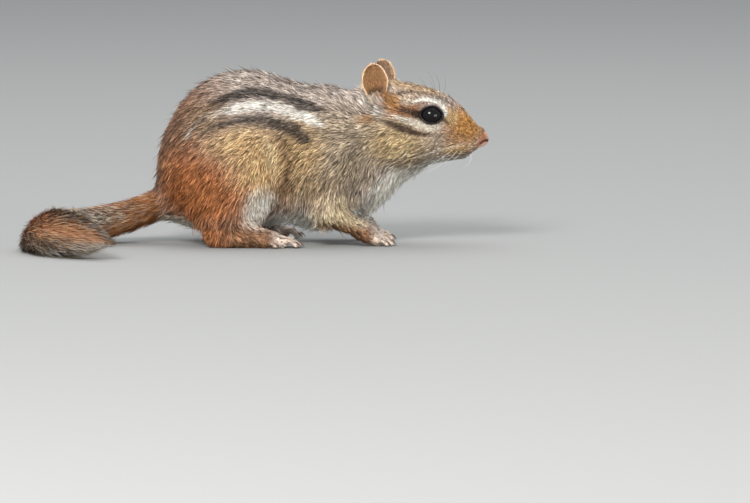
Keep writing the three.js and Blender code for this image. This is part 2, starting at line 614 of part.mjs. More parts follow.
// The model, moved so that the middle of its outline on the ground is the origin
const COAT = { roughness: 0.9, metalness: 0 };
const group = new THREE.Group();
function add(name, geometry, color, finish = COAT) {
  const mesh = new THREE.Mesh(geometry, new THREE.MeshStandardMaterial({ color, ...finish }));
  mesh.name = name;
  group.add(mesh);
}
function addBoth(name, made, color) {
  const geometry = largest(made);
  add(`${name}_left`, geometry, color);
  add(`${name}_right`, mirrored(geometry), color);
}
add("torso", largest(torso), "#8c7556");
add("head", largest(head), "#94795a");
add("nose", largest(nose), "#b98a80", { roughness: 0.5, metalness: 0 });
["left", "right"].forEach((side, i) => {
  add(`ear_${side}`, largest(ears[i]), "#a8764f");
  const ball = i ? mirrored(eyeBall(0)) : eyeBall(0);
  add(`eye_${side}`, largest(posed(ball)), "#0d0a09", { roughness: 0.06, metalness: 0 });
});
addBoth("thigh", thigh, "#a27444");
addBoth("hindfoot", hindfoot, "#b3895c");
addBoth("foreleg", foreleg, "#a38660");
addBoth("forepaw", forepaw, "#a9927a");
Object.entries(TAIL.parts).forEach(([name, range]) => add(name, largest(tailPart(range)), "#6f5a44"));

const outline = new THREE.Box3().setFromObject(group);
const middle = outline.getCenter(new THREE.Vector3());
group.position.set(-middle.x, -middle.y, 0);

export default group;
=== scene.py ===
"""A life-size chipmunk, crouched on a pale floor with its head raised and its tail laid round on the ground.

The shape is worked out in millimetres in the part's own axes: +X forwards, +Y to the animal's left, +Z up.
It is moved to the frame's metres when a mesh is made. A place on the head is given in the head's straight pose,
and turned with the head. A place on one side stands for both.
"""

import logging
import math
from dataclasses import dataclass, fields
from enum import Enum
from typing import Any, Callable, Sequence

import bpy
import numpy as np
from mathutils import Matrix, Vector


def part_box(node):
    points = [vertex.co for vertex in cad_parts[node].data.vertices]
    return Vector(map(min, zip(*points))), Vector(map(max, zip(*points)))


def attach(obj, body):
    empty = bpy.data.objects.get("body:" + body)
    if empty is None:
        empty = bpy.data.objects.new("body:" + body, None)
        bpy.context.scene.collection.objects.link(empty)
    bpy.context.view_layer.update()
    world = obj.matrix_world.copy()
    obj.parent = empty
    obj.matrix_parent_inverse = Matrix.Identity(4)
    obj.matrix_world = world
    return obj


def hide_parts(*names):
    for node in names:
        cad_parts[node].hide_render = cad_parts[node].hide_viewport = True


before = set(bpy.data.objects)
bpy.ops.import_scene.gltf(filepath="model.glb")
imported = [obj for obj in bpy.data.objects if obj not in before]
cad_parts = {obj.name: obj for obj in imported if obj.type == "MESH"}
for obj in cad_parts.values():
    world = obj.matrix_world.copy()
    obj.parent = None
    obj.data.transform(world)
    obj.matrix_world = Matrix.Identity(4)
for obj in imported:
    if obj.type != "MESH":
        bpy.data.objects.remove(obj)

logging.basicConfig(level=logging.INFO, format="%(message)s")
LOG = logging.getLogger("chipmunk")

Array = np.ndarray
Vec = tuple[float, float, float]
Field = Callable[[Array], Array]

SEED = 4127
MM_PER_METRE = 1000.0
SIDES = {"left": 1, "right": -1}
HEAD_YAW = -8.0
NECK_PIVOT = (22.0, 0.0, 44.0)
FLOOR_GAP = 0.06


class Slot(Enum):
    """The record's material slots."""

    BODY = "body_coat"
    HEAD = "head_coat"
    FOOT = "foot_skin"
    EAR = "ear_skin"
    NOSE = "nose_skin"
    EYE = "eye"
    TAIL = "tail_hair"


def unit(v: Array) -> Array:
    """Vectors at length 1."""
    return v / np.maximum(np.linalg.norm(v, axis=-1, keepdims=True), 1e-9)


def ramp(x: Array, low: float, high: float) -> Array:
    """A smooth step: 0 below low, 1 above high, and 3t^2 - 2t^3 between them."""
    t = np.clip((x - low) / (high - low), 0.0, 1.0)
    return t * t * (3.0 - 2.0 * t)


def srgb(red: int, green: int, blue: int) -> Array:
    """A screen colour, each value from 0 to 255, as linear light."""
    c = np.array([red, green, blue]) / 255.0
    return np.where(c <= 0.04045, c / 12.92, ((c + 0.055) / 1.055) ** 2.4)


def turned(points: Array, degrees: float, pivot: Sequence[float]) -> Array:
    """Points turned about the vertical through a pivot.

    Args:
        points: Points along the last axis.
        degrees: Anticlockwise from above.
        pivot: A point on the axis.

    Returns:
        The turned points.
    """
    c, s = math.cos(math.radians(degrees)), math.sin(math.radians(degrees))
    x, y, z = np.moveaxis(points - np.asarray(pivot), -1, 0)
    return np.stack([x * c - y * s, x * s + y * c, z], -1) + np.asarray(pivot)


def to_head(points: Array) -> Array:
    """Points as seen in the head's own straight pose."""
    return turned(points, -HEAD_YAW, NECK_PIVOT)


def from_head(points: Array) -> Array:
    """Points of the head's straight pose, turned with the head."""
    return turned(points, HEAD_YAW, NECK_PIVOT)


def turned_way(ways: Array) -> Array:
    """Directions of the head's straight pose, turned with the head."""
    return turned(ways, HEAD_YAW, (0, 0, 0))


def mirrored(points: Array) -> Array:
    """Points folded onto the left side."""
    return np.stack([points[..., 0], np.abs(points[..., 1]), points[..., 2]], -1)


@dataclass(frozen=True)
class Egg:
    """An egg-shaped mass.

    Attributes:
        centre: Its middle.
        radii: Half sizes along its own axes.
        soft: Width of the fillet that joins it.
        pitch: Degrees that its front end is lifted.
        yaw: Degrees that its front end is turned to the left.
    """

    centre: Vec
    radii: Vec
    soft: float = 0.0
    pitch: float = 0.0
    yaw: float = 0.0

    def distance(self, p: Array) -> Array:
        """Near its surface, the distance outside it: k(k - 1)/g, with k = |q/r|, g = |q/r^2|, q in its axes.

        Args:
            p: Points.

        Returns:
            Distances, negative inside.
        """
        a, b = math.radians(-self.pitch), math.radians(self.yaw)
        tilt = np.array([[math.cos(a), 0, math.sin(a)], [0, 1, 0], [-math.sin(a), 0, math.cos(a)]])
        swing = np.array([[math.cos(b), -math.sin(b), 0], [math.sin(b), math.cos(b), 0], [0, 0, 1]])
        q = (p - np.array(self.centre)) @ (swing @ tilt)
        r = np.array(self.radii)
        k = np.linalg.norm(q / r, axis=-1)
        return k * (k - 1.0) / (np.linalg.norm(q / r**2, axis=-1) + 1e-9)


@dataclass(frozen=True)
class Taper:
    """A round bar from start to end with a radius at each.

    Attributes:
        start: Middle of its first end.
        end: Middle of its last end.
        radii: Radius at each end.
        soft: Width of the fillet that joins it.
    """

    start: Vec
    end: Vec
    radii: tuple[float, float]
    soft: float = 0.0

    def distance(self, p: Array) -> Array:
        """Distance to the nearest point of the middle line, less the radius there.

        Args:
            p: Points.

        Returns:
            Distances, negative inside.
        """
        a, along = np.array(self.start), np.subtract(self.end, self.start)
        t = np.clip(((p - a) @ along) / (along @ along), 0.0, 1.0)
        radius = self.radii[0] + np.diff(self.radii)[0] * t
        return np.linalg.norm(p - a - t[..., None] * along, axis=-1) - radius


TRUNK = (
    Egg((-19, 0, 34), (29.5, 21.5, 29)),
    Egg((-31.5, 0, 24), (19.5, 18, 21), 8, pitch=16),
    Egg((9, 0, 31.5), (22, 18, 24), 14),
    Taper((14, 0, 38), (30, 0, 41), (17, 12.5), 8),
    Taper((20, 0, 23), (38, 0, 33), (12, 8), 8),
    Egg((8, 0, 19), (14, 12, 15), 4),
    Egg((-25, 14.5, 25.2), (19.5, 11.5, 21.7), 4, yaw=6),
    Egg((11, 12, 26), (9, 8, 17), 4, pitch=-12),
    Taper((-42, 0, 16.5), (-59, -0.6, 10.6), (8.5, 5), 8),
)
EYE_CENTRE = (47.9, 7.2, 46.3)
EYE_RADIUS = 4.1
EYE_FACING = (0.2, 0.95, 0.18)
EYE_HALF = (3.7, 2.8)
LID_POINT = 0.25
LID_RADIUS = 4.9
HEAD = (
    Egg((32, 0, 46), (16, 12.6, 13), pitch=-12),
    Egg((46, 0, 44), (15.5, 8.6, 11.5), 6, pitch=-22),
    Egg((47, 5.4, 45.9), (8, 4, 6), 4, pitch=-10),
    Taper((51, 0, 41.3), (63, 0, 38.5), (7.6, 4), 5),
    Egg((37.5, 7, 38.5), (12, 6.6, 9), 6, pitch=-14),
    Taper((40, 0, 35), (57.5, 0, 33.6), (8, 3.1), 5),
    Egg((57.5, 2.6, 36.8), (6, 3, 3.6), 3, pitch=-14),
)
LIDS = Egg(EYE_CENTRE, (LID_RADIUS, LID_RADIUS, LID_RADIUS), 1.6)
FORELEG = (
    Taper((9.5, 13.5, 13), (23, 12, 6), (6, 3.8), 5),
    Taper((22, 12, 5.4), (27.5, 11.4, 2.2), (3.5, 2.8), 3),
)
HINDLEG = (
    Taper((-30, 17, 4.4), (-10, 18.5, 2.9), (4.7, 3.2), 5),
    Taper((-12, 18.4, 2.8), (-6.5, 19.2, 2.2), (3.2, 2.6), 2),
)
PART_SOFT = 5.0
FACE_START = 40.0
FACE_OVERLAP = 0.8
BODY_COAT = 2.1
MOUTH = ((63.5, 0, 34.5), (62.1, 2, 33.8), (59.8, 3.6, 32.6), (57, 4.8, 31.8), (54.4, 5.7, 31.6))
NOSE_CENTRE = (64.7, 0.0, 37.6)
NOSE_RADII = (2.9, 2.7, 2.7)
BARE_NOSE = Egg((64.8, 0, 37.2), (3.1, 3.25, 3.5))
HIND_TOES = (
    ((-11.5, 17, 2.6), (-8.6, 15.2, 2.4), (-6.6, 14.3, 1.3)),
    ((-8, 17.8, 2.4), (-3.6, 17.2, 2.9), (-1.3, 17, 1.3)),
    ((-8, 19, 2.4), (-2.8, 19, 3), (-0.4, 19, 1.3)),
    ((-8, 20.2, 2.4), (-3.6, 20.9, 2.9), (-1.4, 21.2, 1.3)),
    ((-13, 20.2, 2.4), (-10.3, 22, 2.3), (-8.6, 22.9, 1.2)),
)
FORE_TOES = (
    ((26.5, 9.9, 2.2), (29, 8.6, 2.3), (30.6, 7.9, 1.1)),
    ((27.5, 10.8, 2.2), (30.8, 10.2, 2.5), (32.6, 9.9, 1.1)),
    ((27.5, 12, 2.2), (30.9, 12.1, 2.5), (32.7, 12.2, 1.1)),
    ((26.5, 13, 2.2), (29.2, 14, 2.3), (30.8, 14.6, 1.1)),
)
TAIL_LINE = (
    (-46, 0, 15.5), (-62, -1.2, 9.6), (-76, -6, 6.4), (-86, -15.5, 6),
    (-90, -29, 6.4), (-86, -43, 6.8), (-77, -55, 6.8), (-67, -64, 6.4),
)
TAIL_HALF_WIDTH = (5.6, 7.4, 8.8, 9.4, 9.6, 9.6, 9, 7)
TAIL_HALF_THICKNESS = (5, 5.3, 5.8, 6, 6, 6, 5.6, 4.4)
TAIL_ROLL = (0, 12, 24, 34, 42, 48, 50, 50)


def blend(a: Array, b: Array, width: float) -> Array:
    """Two distances joined by a fillet: min(a, b) less h^2 w/4, with h the closeness of a and b in widths w.

    Args:
        a: First distances.
        b: Second distances.
        width: The fillet's width.

    Returns:
        Distances outside both.
    """
    if width <= 0:
        return np.minimum(a, b)
    h = np.maximum(width - np.abs(a - b), 0.0) / width
    return np.minimum(a, b) - h * h * width * 0.25


def union(masses: Sequence[Egg | Taper], p: Array) -> Array:
    """The distance outside masses that are joined in turn by their fillets.

    Args:
        masses: The masses.
        p: Points.

    Returns:
        Distances, negative inside.
    """
    total = masses[0].distance(p)
    for mass in masses[1:]:
        total = blend(total, mass.distance(p), mass.soft)
    return total


def to_line(p: Array, line: Sequence[Vec]) -> tuple[Array, Array]:
    """The distance to a chain of points and the place along it.

    Args:
        p: Points.
        line: The chain.

    Returns:
        Distances, and places from 0 at its start to 1 at its end.
    """
    nodes = np.array(line, float)
    best, place = np.full(p.shape[:-1], np.inf), np.zeros(p.shape[:-1])
    for i, (a, b) in enumerate(zip(nodes[:-1], nodes[1:])):
        t = np.clip(((p - a) @ (b - a)) / ((b - a) @ (b - a)), 0, 1)
        d = np.linalg.norm(p - a - t[..., None] * (b - a), axis=-1)
        closer = d < best
        best, place = np.where(closer, d, best), np.where(closer, (i + t) / (len(nodes) - 1), place)
    return best, place


class Anatomy:
    """The animal's form as fields: the coat's outer limit and the skin under it."""

    @staticmethod
    def eye_axes() -> tuple[Array, Array, Array]:
        """The left eye's own directions.

        Returns:
            Outward, backward and upward, in the head's straight pose.
        """
        out = unit(np.array(EYE_FACING))
        back = unit(np.array([-1.0, 0, 0]) + out * out[0])
        up = np.cross(out, back)
        return out, back, up if up[2] > 0 else -up

    @classmethod
    def lid_edge(cls, angles: Array, distance: float, grow: float = 1.0) -> Array:
        """Points of the opening between the left lids, at a distance from the eye's centre.

        Args:
            angles: Radians round the opening.
            distance: From the centre, in millimetres.
            grow: Size of the opening against the real one.

        Returns:
            Points in the head's straight pose.
        """
        out, back, up = cls.eye_axes()
        a = EYE_HALF[0] * grow / EYE_RADIUS * np.cos(angles)
        b = EYE_HALF[1] * grow / EYE_RADIUS * np.sin(angles)
        b *= 1 - LID_POINT * np.abs(np.cos(angles)) ** 3
        depth = np.sqrt(np.maximum(1 - a * a - b * b, 0.05))
        return np.array(EYE_CENTRE) + distance * (a[:, None] * back + b[:, None] * up + depth[:, None] * out)

    @classmethod
    def opening(cls, q: Array) -> Array:
        """Distance outside the cone between the left lids: 3.3 mm for each half width outside its ellipse.

        Args:
            q: Points in the head's straight pose, on the left side.

        Returns:
            Distances, negative in the opening, and 9 behind the eye.
        """
        out, back, up = cls.eye_axes()
        r = q - np.array(EYE_CENTRE)
        n = np.linalg.norm(r, axis=-1) + 1e-6
        a, b = (r @ back) / n * EYE_RADIUS / EYE_HALF[0], (r @ up) / n * EYE_RADIUS / EYE_HALF[1]
        size = np.hypot(a, b) + 1e-6
        b = b / (1 - LID_POINT * np.abs(a / size) ** 3)
        return np.where(r @ out > 0, 3.3 * (np.hypot(a, b) - 1.0), 9.0)

    @staticmethod
    def head(p: Array) -> Array:
        """Distance outside the head, with p in its straight pose and on the left side."""
        return union((*HEAD, LIDS), p)

    @classmethod
    def flesh(cls, p: Array) -> Array:
        """Distance outside the whole body, out to the tips of the short coat.

        Args:
            p: Points.

        Returns:
            Distances, negative inside.
        """
        left = mirrored(p)
        body = blend(union(TRUNK, left), cls.head(mirrored(to_head(p))), PART_SOFT)
        return blend(body, np.minimum(union(FORELEG, left), union(HINDLEG, left)), PART_SOFT)

    @staticmethod
    def coat_depth(p: Array) -> Array:
        """How far under the coat's outer limit the skin lies: most on the body, less on head, legs and feet.

        Args:
            p: Points.

        Returns:
            Depths in millimetres.
        """
        q = mirrored(to_head(p))
        on_head = np.interp(q[..., 0], [22, 32, 42, 50, 58, 66], [BODY_COAT, 1.5, 1.1, 0.75, 0.45, 0.25])
        to_eye = np.linalg.norm(q - np.array(EYE_CENTRE), axis=-1) - LID_RADIUS
        on_head = np.minimum(on_head, 0.3 + 0.2 * np.maximum(to_eye, 0))
        left = mirrored(p)
        limb = ramp(left[..., 1], 8, 12) * (1 - ramp(left[..., 2], 6, 14))
        stations, depths = [-40, -28, -10, -4, 6, 16, 24, 30], [1.4, 0.8, 0.35, 0.3, 1.4, 1, 0.45, 0.3]
        limb_depth = np.interp(left[..., 0], stations, depths)
        depth = np.where(p[..., 0] > 20, on_head, BODY_COAT)
        return depth * (1 - limb) + limb_depth * limb

    @classmethod
    def face(cls, p: Array) -> Array:
        """Distance outside the skin ahead of the plane that parts the face."""
        return np.maximum(cls.skin(p), FACE_START - to_head(p)[..., 0])

    @classmethod
    def body(cls, p: Array) -> Array:
        """Distance outside the skin behind that plane, with a little overlap."""
        return np.maximum(cls.skin(p), to_head(p)[..., 0] - FACE_START - FACE_OVERLAP)

    @classmethod
    def skin(cls, p: Array) -> Array:
        """Distance outside the skin, with the eye's socket and the mouth's groove cut in, over the floor.

        Args:
            p: Points.

        Returns:
            Distances, negative inside.
        """
        d = cls.flesh(p) + cls.coat_depth(p)
        q = mirrored(to_head(p))
        near = np.abs(q[..., 0] - 52) < 16
        socket = np.full(p.shape[:-1], 9.0)
        groove = np.full(p.shape[:-1], 9.0)
        if near.any():
            ball = np.linalg.norm(q[near] - np.array(EYE_CENTRE), axis=-1) - EYE_RADIUS - 0.12
            socket[near] = np.minimum(ball, np.maximum(cls.opening(q[near]) - 0.25, ball - 3.0))
            groove[near] = to_line(q[near], MOUTH)[0] - 0.36
        return np.maximum(np.maximum(np.maximum(d, -socket), -groove), FLOOR_GAP - p[..., 2])


def slope(distance: Field, p: Array, step: float = 0.08) -> Array:
    """The gradient of a field by central differences.

    Args:
        distance: The field.
        p: Points.
        step: Half the difference, in millimetres.

    Returns:
        Gradients.
    """
    parts = []
    for k in range(3):
        shift = np.zeros(3)
        shift[k] = step
        parts.append((distance(p + shift) - distance(p - shift)) / (2 * step))
    return np.stack(parts, -1)


def settle(distance: Field, p: Array, steps: int = 3, limit: float = 9.0) -> Array:
    """Points moved onto a field's surface by Newton's steps: each is the distance over the gradient's square.

    Args:
        distance: The field.
        p: Points.
        steps: How many steps.
        limit: The longest step.

    Returns:
        The moved points.
    """
    for _ in range(steps):
        g = slope(distance, p)
        move = g * (distance(p) / np.maximum((g * g).sum(-1), 0.15))[:, None]
        size = np.linalg.norm(move, axis=-1, keepdims=True)
        p = p - move * np.minimum(1.0, limit / np.maximum(size, 1e-9))
    return p


def surface_net(distance: Field, low: Vec, high: Vec, cell: float) -> tuple[Array, Array]:
    """A field's surface as a closed net of quads.

    Each grid cell that the surface crosses gets one vertex, settled onto the surface. Each grid edge that it
    crosses gets one quad through the four cells round it.

    Args:
        distance: The field, negative inside.
        low: The box's lowest corner.
        high: The box's highest corner.
        cell: The grid's step.

    Returns:
        Vertices and quads.
    """
    axes = [np.arange(a, b + cell, cell) for a, b in zip(low, high)]
    shape = tuple(len(a) for a in axes)
    values = np.empty(shape, np.float32)
    for i, x in enumerate(axes[0]):
        y, z = np.meshgrid(axes[1], axes[2], indexing="ij")
        values[i] = distance(np.stack([np.full_like(y, x), y, z], -1))
    for k in range(3):
        face = [slice(None)] * 3
        for end in (0, -1):
            face[k] = end
            values[tuple(face)] = 1.0
    inside = values < 0
    corners = sum(
        inside[i : shape[0] - 1 + i, j : shape[1] - 1 + j, k : shape[2] - 1 + k].astype(np.int8)
        for i in (0, 1)
        for j in (0, 1)
        for k in (0, 1)
    )
    active = (corners > 0) & (corners < 8)
    number = np.full(active.shape, -1)
    number[active] = np.arange(active.sum())
    points = np.argwhere(active) * cell + np.array(low) + cell / 2
    points = settle(distance, points, 4, 0.5 * cell)
    quads = []
    for k in range(3):
        a = np.moveaxis(inside, k, 0)
        cells = np.moveaxis(number, k, 0)
        cross = a[:-1, 1:-1, 1:-1] != a[1:, 1:-1, 1:-1]
        i, u, v = np.nonzero(cross)
        out = a[:-1, 1:-1, 1:-1][cross]
        ring = np.stack([cells[i, u, v], cells[i, u + 1, v], cells[i, u + 1, v + 1], cells[i, u, v + 1]], -1)
        ring[~out] = ring[~out][:, ::-1]
        quads.append(ring)
    return points, np.concatenate(quads)


def find_offset() -> Array:
    """What the frame adds to the part's own axes: the middle of the right eye's node less the eye's own place.

    Returns:
        Millimetres along X, Y and Z.
    """
    low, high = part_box("eye_right")
    here = (np.array(low) + np.array(high)) * (MM_PER_METRE / 2)
    there = from_head(np.array([[EYE_CENTRE[0], -EYE_CENTRE[1], EYE_CENTRE[2]]]))[0]
    return here - there


OFFSET = find_offset()


def make_mesh(
    name: str,
    points: Array,
    faces: Array,
    material: bpy.types.Material,
    tint: Array | None = None,
    normals: Array | None = None,
    uv: Array | None = None,
) -> bpy.types.Object:
    """A mesh object from whole arrays.

    Args:
        name: The object's name.
        points: Vertices in millimetres of the part.
        faces: Rows of vertex numbers, all of one length.
        material: Its finish.
        tint: Linear colour of each vertex.
        normals: Shading normal of each vertex.
        uv: Bake map place of each vertex.

    Returns:
        The object, at the origin.
    """
    mesh = bpy.data.meshes.new(name)
    count, sides = faces.shape
    mesh.vertices.add(len(points))
    mesh.vertices.foreach_set("co", ((points + OFFSET) / MM_PER_METRE).astype(np.float32).ravel())
    mesh.loops.add(count * sides)
    mesh.loops.foreach_set("vertex_index", faces.astype(np.int32).ravel())
    mesh.polygons.add(count)
    mesh.polygons.foreach_set("loop_start", np.arange(0, count * sides, sides, dtype=np.int32))
    mesh.polygons.foreach_set("loop_total", np.full(count, sides, np.int32))
    mesh.polygons.foreach_set("use_smooth", np.ones(count, bool))
    mesh.update(calc_edges=True)
    mesh.validate()
    if tint is not None:
        layer = mesh.color_attributes.new("Tint", "FLOAT_COLOR", "POINT")
        rgba = np.concatenate([np.clip(tint, 0, 1), np.ones((len(points), 1))], 1)
        layer.data.foreach_set("color", rgba.astype(np.float32).ravel())
    if uv is not None:
        layer = mesh.uv_layers.new(name="OFBake")
        layer.data.foreach_set("uv", uv[faces.ravel()].astype(np.float32).ravel())
    if normals is not None:
        mesh.normals_split_custom_set_from_vertices(unit(normals).astype(np.float32))
    mesh.materials.append(material)
    piece = bpy.data.objects.new(name, mesh)
    bpy.context.scene.collection.objects.link(piece)
    return piece


class Shade:
    """A value in a material's node tree, with arithmetic that adds nodes."""

    def __init__(self, tree: bpy.types.NodeTree, socket: Any) -> None:
        """Wraps one output socket of a tree."""
        self.tree = tree
        self.socket = socket

    @staticmethod
    def feed(tree: bpy.types.NodeTree, target: Any, value: Any) -> None:
        """Sets an input.

        Args:
            tree: The material's nodes.
            target: The input.
            value: A number or a colour, which is set on it, or another value, which is linked.
        """
        if isinstance(value, Shade):
            tree.links.new(value.socket, target)
        else:
            target.default_value = value

    @classmethod
    def node(
        cls, tree: bpy.types.NodeTree, kind: str, settings: dict, inputs: dict, output: int | str = 0
    ) -> "Shade":
        """One node of any kind.

        Args:
            tree: The material's nodes.
            kind: Blender's name for the node.
            settings: Its properties.
            inputs: Its inputs by name or number.
            output: The output to use, by name or number.

        Returns:
            That output.
        """
        made = tree.nodes.new(kind)
        for key, value in settings.items():
            setattr(made, key, value)
        for key, value in inputs.items():
            cls.feed(tree, made.inputs[key], value)
        return cls(tree, made.outputs[output])

    def maths(self, operation: str, *others: Any) -> "Shade":
        """A Math node with this value as its first input."""
        inputs = dict(enumerate((self, *others)))
        return self.node(self.tree, "ShaderNodeMath", {"operation": operation}, inputs)

    def __add__(self, other: Any) -> "Shade":
        """The sum."""
        return self.maths("ADD", other)

    __radd__ = __add__

    def __mul__(self, other: Any) -> "Shade":
        """The product."""
        return self.maths("MULTIPLY", other)

    __rmul__ = __mul__

    def __sub__(self, other: Any) -> "Shade":
        """The difference."""
        return self.maths("SUBTRACT", other)

    def __rsub__(self, other: Any) -> "Shade":
        """The difference from a number."""
        return self.maths("MULTIPLY", -1.0).maths("ADD", other)

    def scaled_by(self, other: "Shade") -> "Shade":
        """This colour times a value."""
        return self.node(self.tree, "ShaderNodeVectorMath", {"operation": "SCALE"}, {0: self, "Scale": other})

    @classmethod
    def noise(cls, tree: bpy.types.NodeTree, place: "Shade", scale: float, detail: float) -> "Shade":
        """Noise at a place, about 0.5, with its scale per metre."""
        return cls.node(tree, "ShaderNodeTexNoise", {}, {"Vector": place, "Scale": scale, "Detail": detail})


@dataclass(frozen=True)
class Finish:
    """How a surface looks.

    Attributes:
        name: The material's name.
        color: Linear base colour where no tint is read.
        roughness: From mirror 0 to matt 1.
        tinted: Whether the colour comes from the mesh's Tint.
        mottle: How much a fine noise varies the Tint.
        mottle_scale: The noise's scale, per metre.
        bump: Height of the bump, in metres.
        bump_scale: The bump noise's scale, per metre.
        specular: The reflection's strength.
        glow: Share of light that the thin surface lets through as subsurface scattering.
    """

    name: str
    color: Vec = (0.5, 0.5, 0.5)
    roughness: float = 0.6
    tinted: bool = False
    mottle: float = 0.0
    mottle_scale: float = 900.0
    bump: float = 0.0
    bump_scale: float = 2500.0
    specular: float = 0.3
    glow: float = 0.0

    GLOW_DEPTH = 0.0012
    GLOW_RADIUS = (1.0, 0.5, 0.3)

    def build(self) -> bpy.types.Material:
        """The nodes: the colour times its mottle, and a bump from a finer noise.

        Returns:
            The material.
        """
        material = bpy.data.materials.new(self.name)
        material.use_nodes = True
        tree = material.node_tree
        shader = tree.nodes["Principled BSDF"]
        place = Shade.node(tree, "ShaderNodeTexCoord", {}, {}, "Object")
        color: Any = (*self.color, 1.0)
        if self.tinted:
            color = Shade.node(tree, "ShaderNodeAttribute", {"attribute_name": "Tint"}, {}, "Color")
        if self.tinted and self.mottle:
            noise = Shade.noise(tree, place, self.mottle_scale, 3.0)
            color = color.scaled_by((noise - 0.5) * (2.0 * self.mottle) + 1.0)
        Shade.feed(tree, shader.inputs["Base Color"], color)
        shader.inputs["Roughness"].default_value = self.roughness
        shader.inputs["Specular IOR Level"].default_value = self.specular
        if self.glow:
            shader.inputs["Subsurface Weight"].default_value = self.glow
            shader.inputs["Subsurface Scale"].default_value = self.GLOW_DEPTH
            shader.inputs["Subsurface Radius"].default_value = self.GLOW_RADIUS
        if self.bump:
            grain = Shade.noise(tree, place, self.bump_scale, 4.0)
            height = {"Height": grain, "Distance": self.bump, "Strength": 1.0}
            bump = Shade.node(tree, "ShaderNodeBump", {}, height, "Normal")
            Shade.feed(tree, shader.inputs["Normal"], bump)
        return material


class Tones:
    """The coat's colours, in linear light."""

    GRIZZLE = srgb(180, 164, 152)
    BLACK = srgb(46, 38, 34)
    CREAM = srgb(236, 228, 216)
    OCHRE = srgb(178, 146, 102)
    GOLD = srgb(202, 164, 116)
    RUFOUS = srgb(166, 100, 52)
    RUMP = srgb(142, 104, 78)
    SHOULDER = srgb(164, 146, 122)
    BELLY = srgb(244, 238, 224)
    CROWN = srgb(202, 168, 132)
    MUZZLE = srgb(188, 132, 64)
    CHEEK = srgb(202, 170, 118)
    TAWNY = srgb(146, 94, 50)
    WHITE = srgb(242, 234, 222)
    BROWN = srgb(66, 44, 28)
    FOOT = srgb(134, 90, 54)
    TOE = srgb(206, 186, 170)
    PINK = srgb(220, 184, 162)


@dataclass(frozen=True)
class Stripe:
    """A band of colour along a chain of points on the left side, mirrored on the right.

    Attributes:
        line: Points on the coat, in the part's axes or the head's straight pose.
        width: Full width at its start, middle and end.
        color: Linear colour.
        edge: Width over which it fades.
        strength: Share of the colour at its middle.
        on_head: Whether the points are in the head's pose.
    """

    line: tuple[Vec, ...]
    width: tuple[float, float, float]
    color: Array
    edge: float = 1.0
    strength: float = 1.0
    on_head: bool = False

    def cover(self, trunk: Array, head: Array) -> Array:
        """Shares of the colour: full inside half the width there, none outside it.

        Args:
            trunk: Points in the part's axes, on the left side.
            head: The same points in the head's straight pose.

        Returns:
            Shares from 0 to the strength.
        """
        distance, place = to_line(head if self.on_head else trunk, self.line)
        half = np.interp(place, [0, 0.5, 1], self.width) / 2
        half = half * np.sqrt(ramp(place, -0.03, 0.12) * ramp(1 - place, -0.03, 0.1))
        return self.strength * (1 - ramp(distance, half - self.edge / 2, half + self.edge / 2))


@dataclass(frozen=True)
class Patch:
    """An egg-shaped region of colour on the left side, mirrored on the right.

    Attributes:
        centre: Its middle.
        radii: Half sizes.
        color: Linear colour.
        edge: Share of the radius over which it fades.
        strength: Share of the colour at its middle.
        on_head: Whether it is in the head's pose.
    """

    centre: Vec
    radii: Vec
    color: Array
    edge: float = 0.5
    strength: float = 1.0
    on_head: bool = False

    def cover(self, trunk: Array, head: Array) -> Array:
        """Shares of the colour: full near the middle of the egg, none outside it.

        Args:
            trunk: Points in the part's axes, on the left side.
            head: The same points in the head's straight pose.

        Returns:
            Shares from 0 to the strength.
        """
        q = ((head if self.on_head else trunk) - np.array(self.centre)) / np.array(self.radii)
        return self.strength * (1 - ramp(np.linalg.norm(q, axis=-1), 1 - self.edge, 1 + self.edge * 0.3))


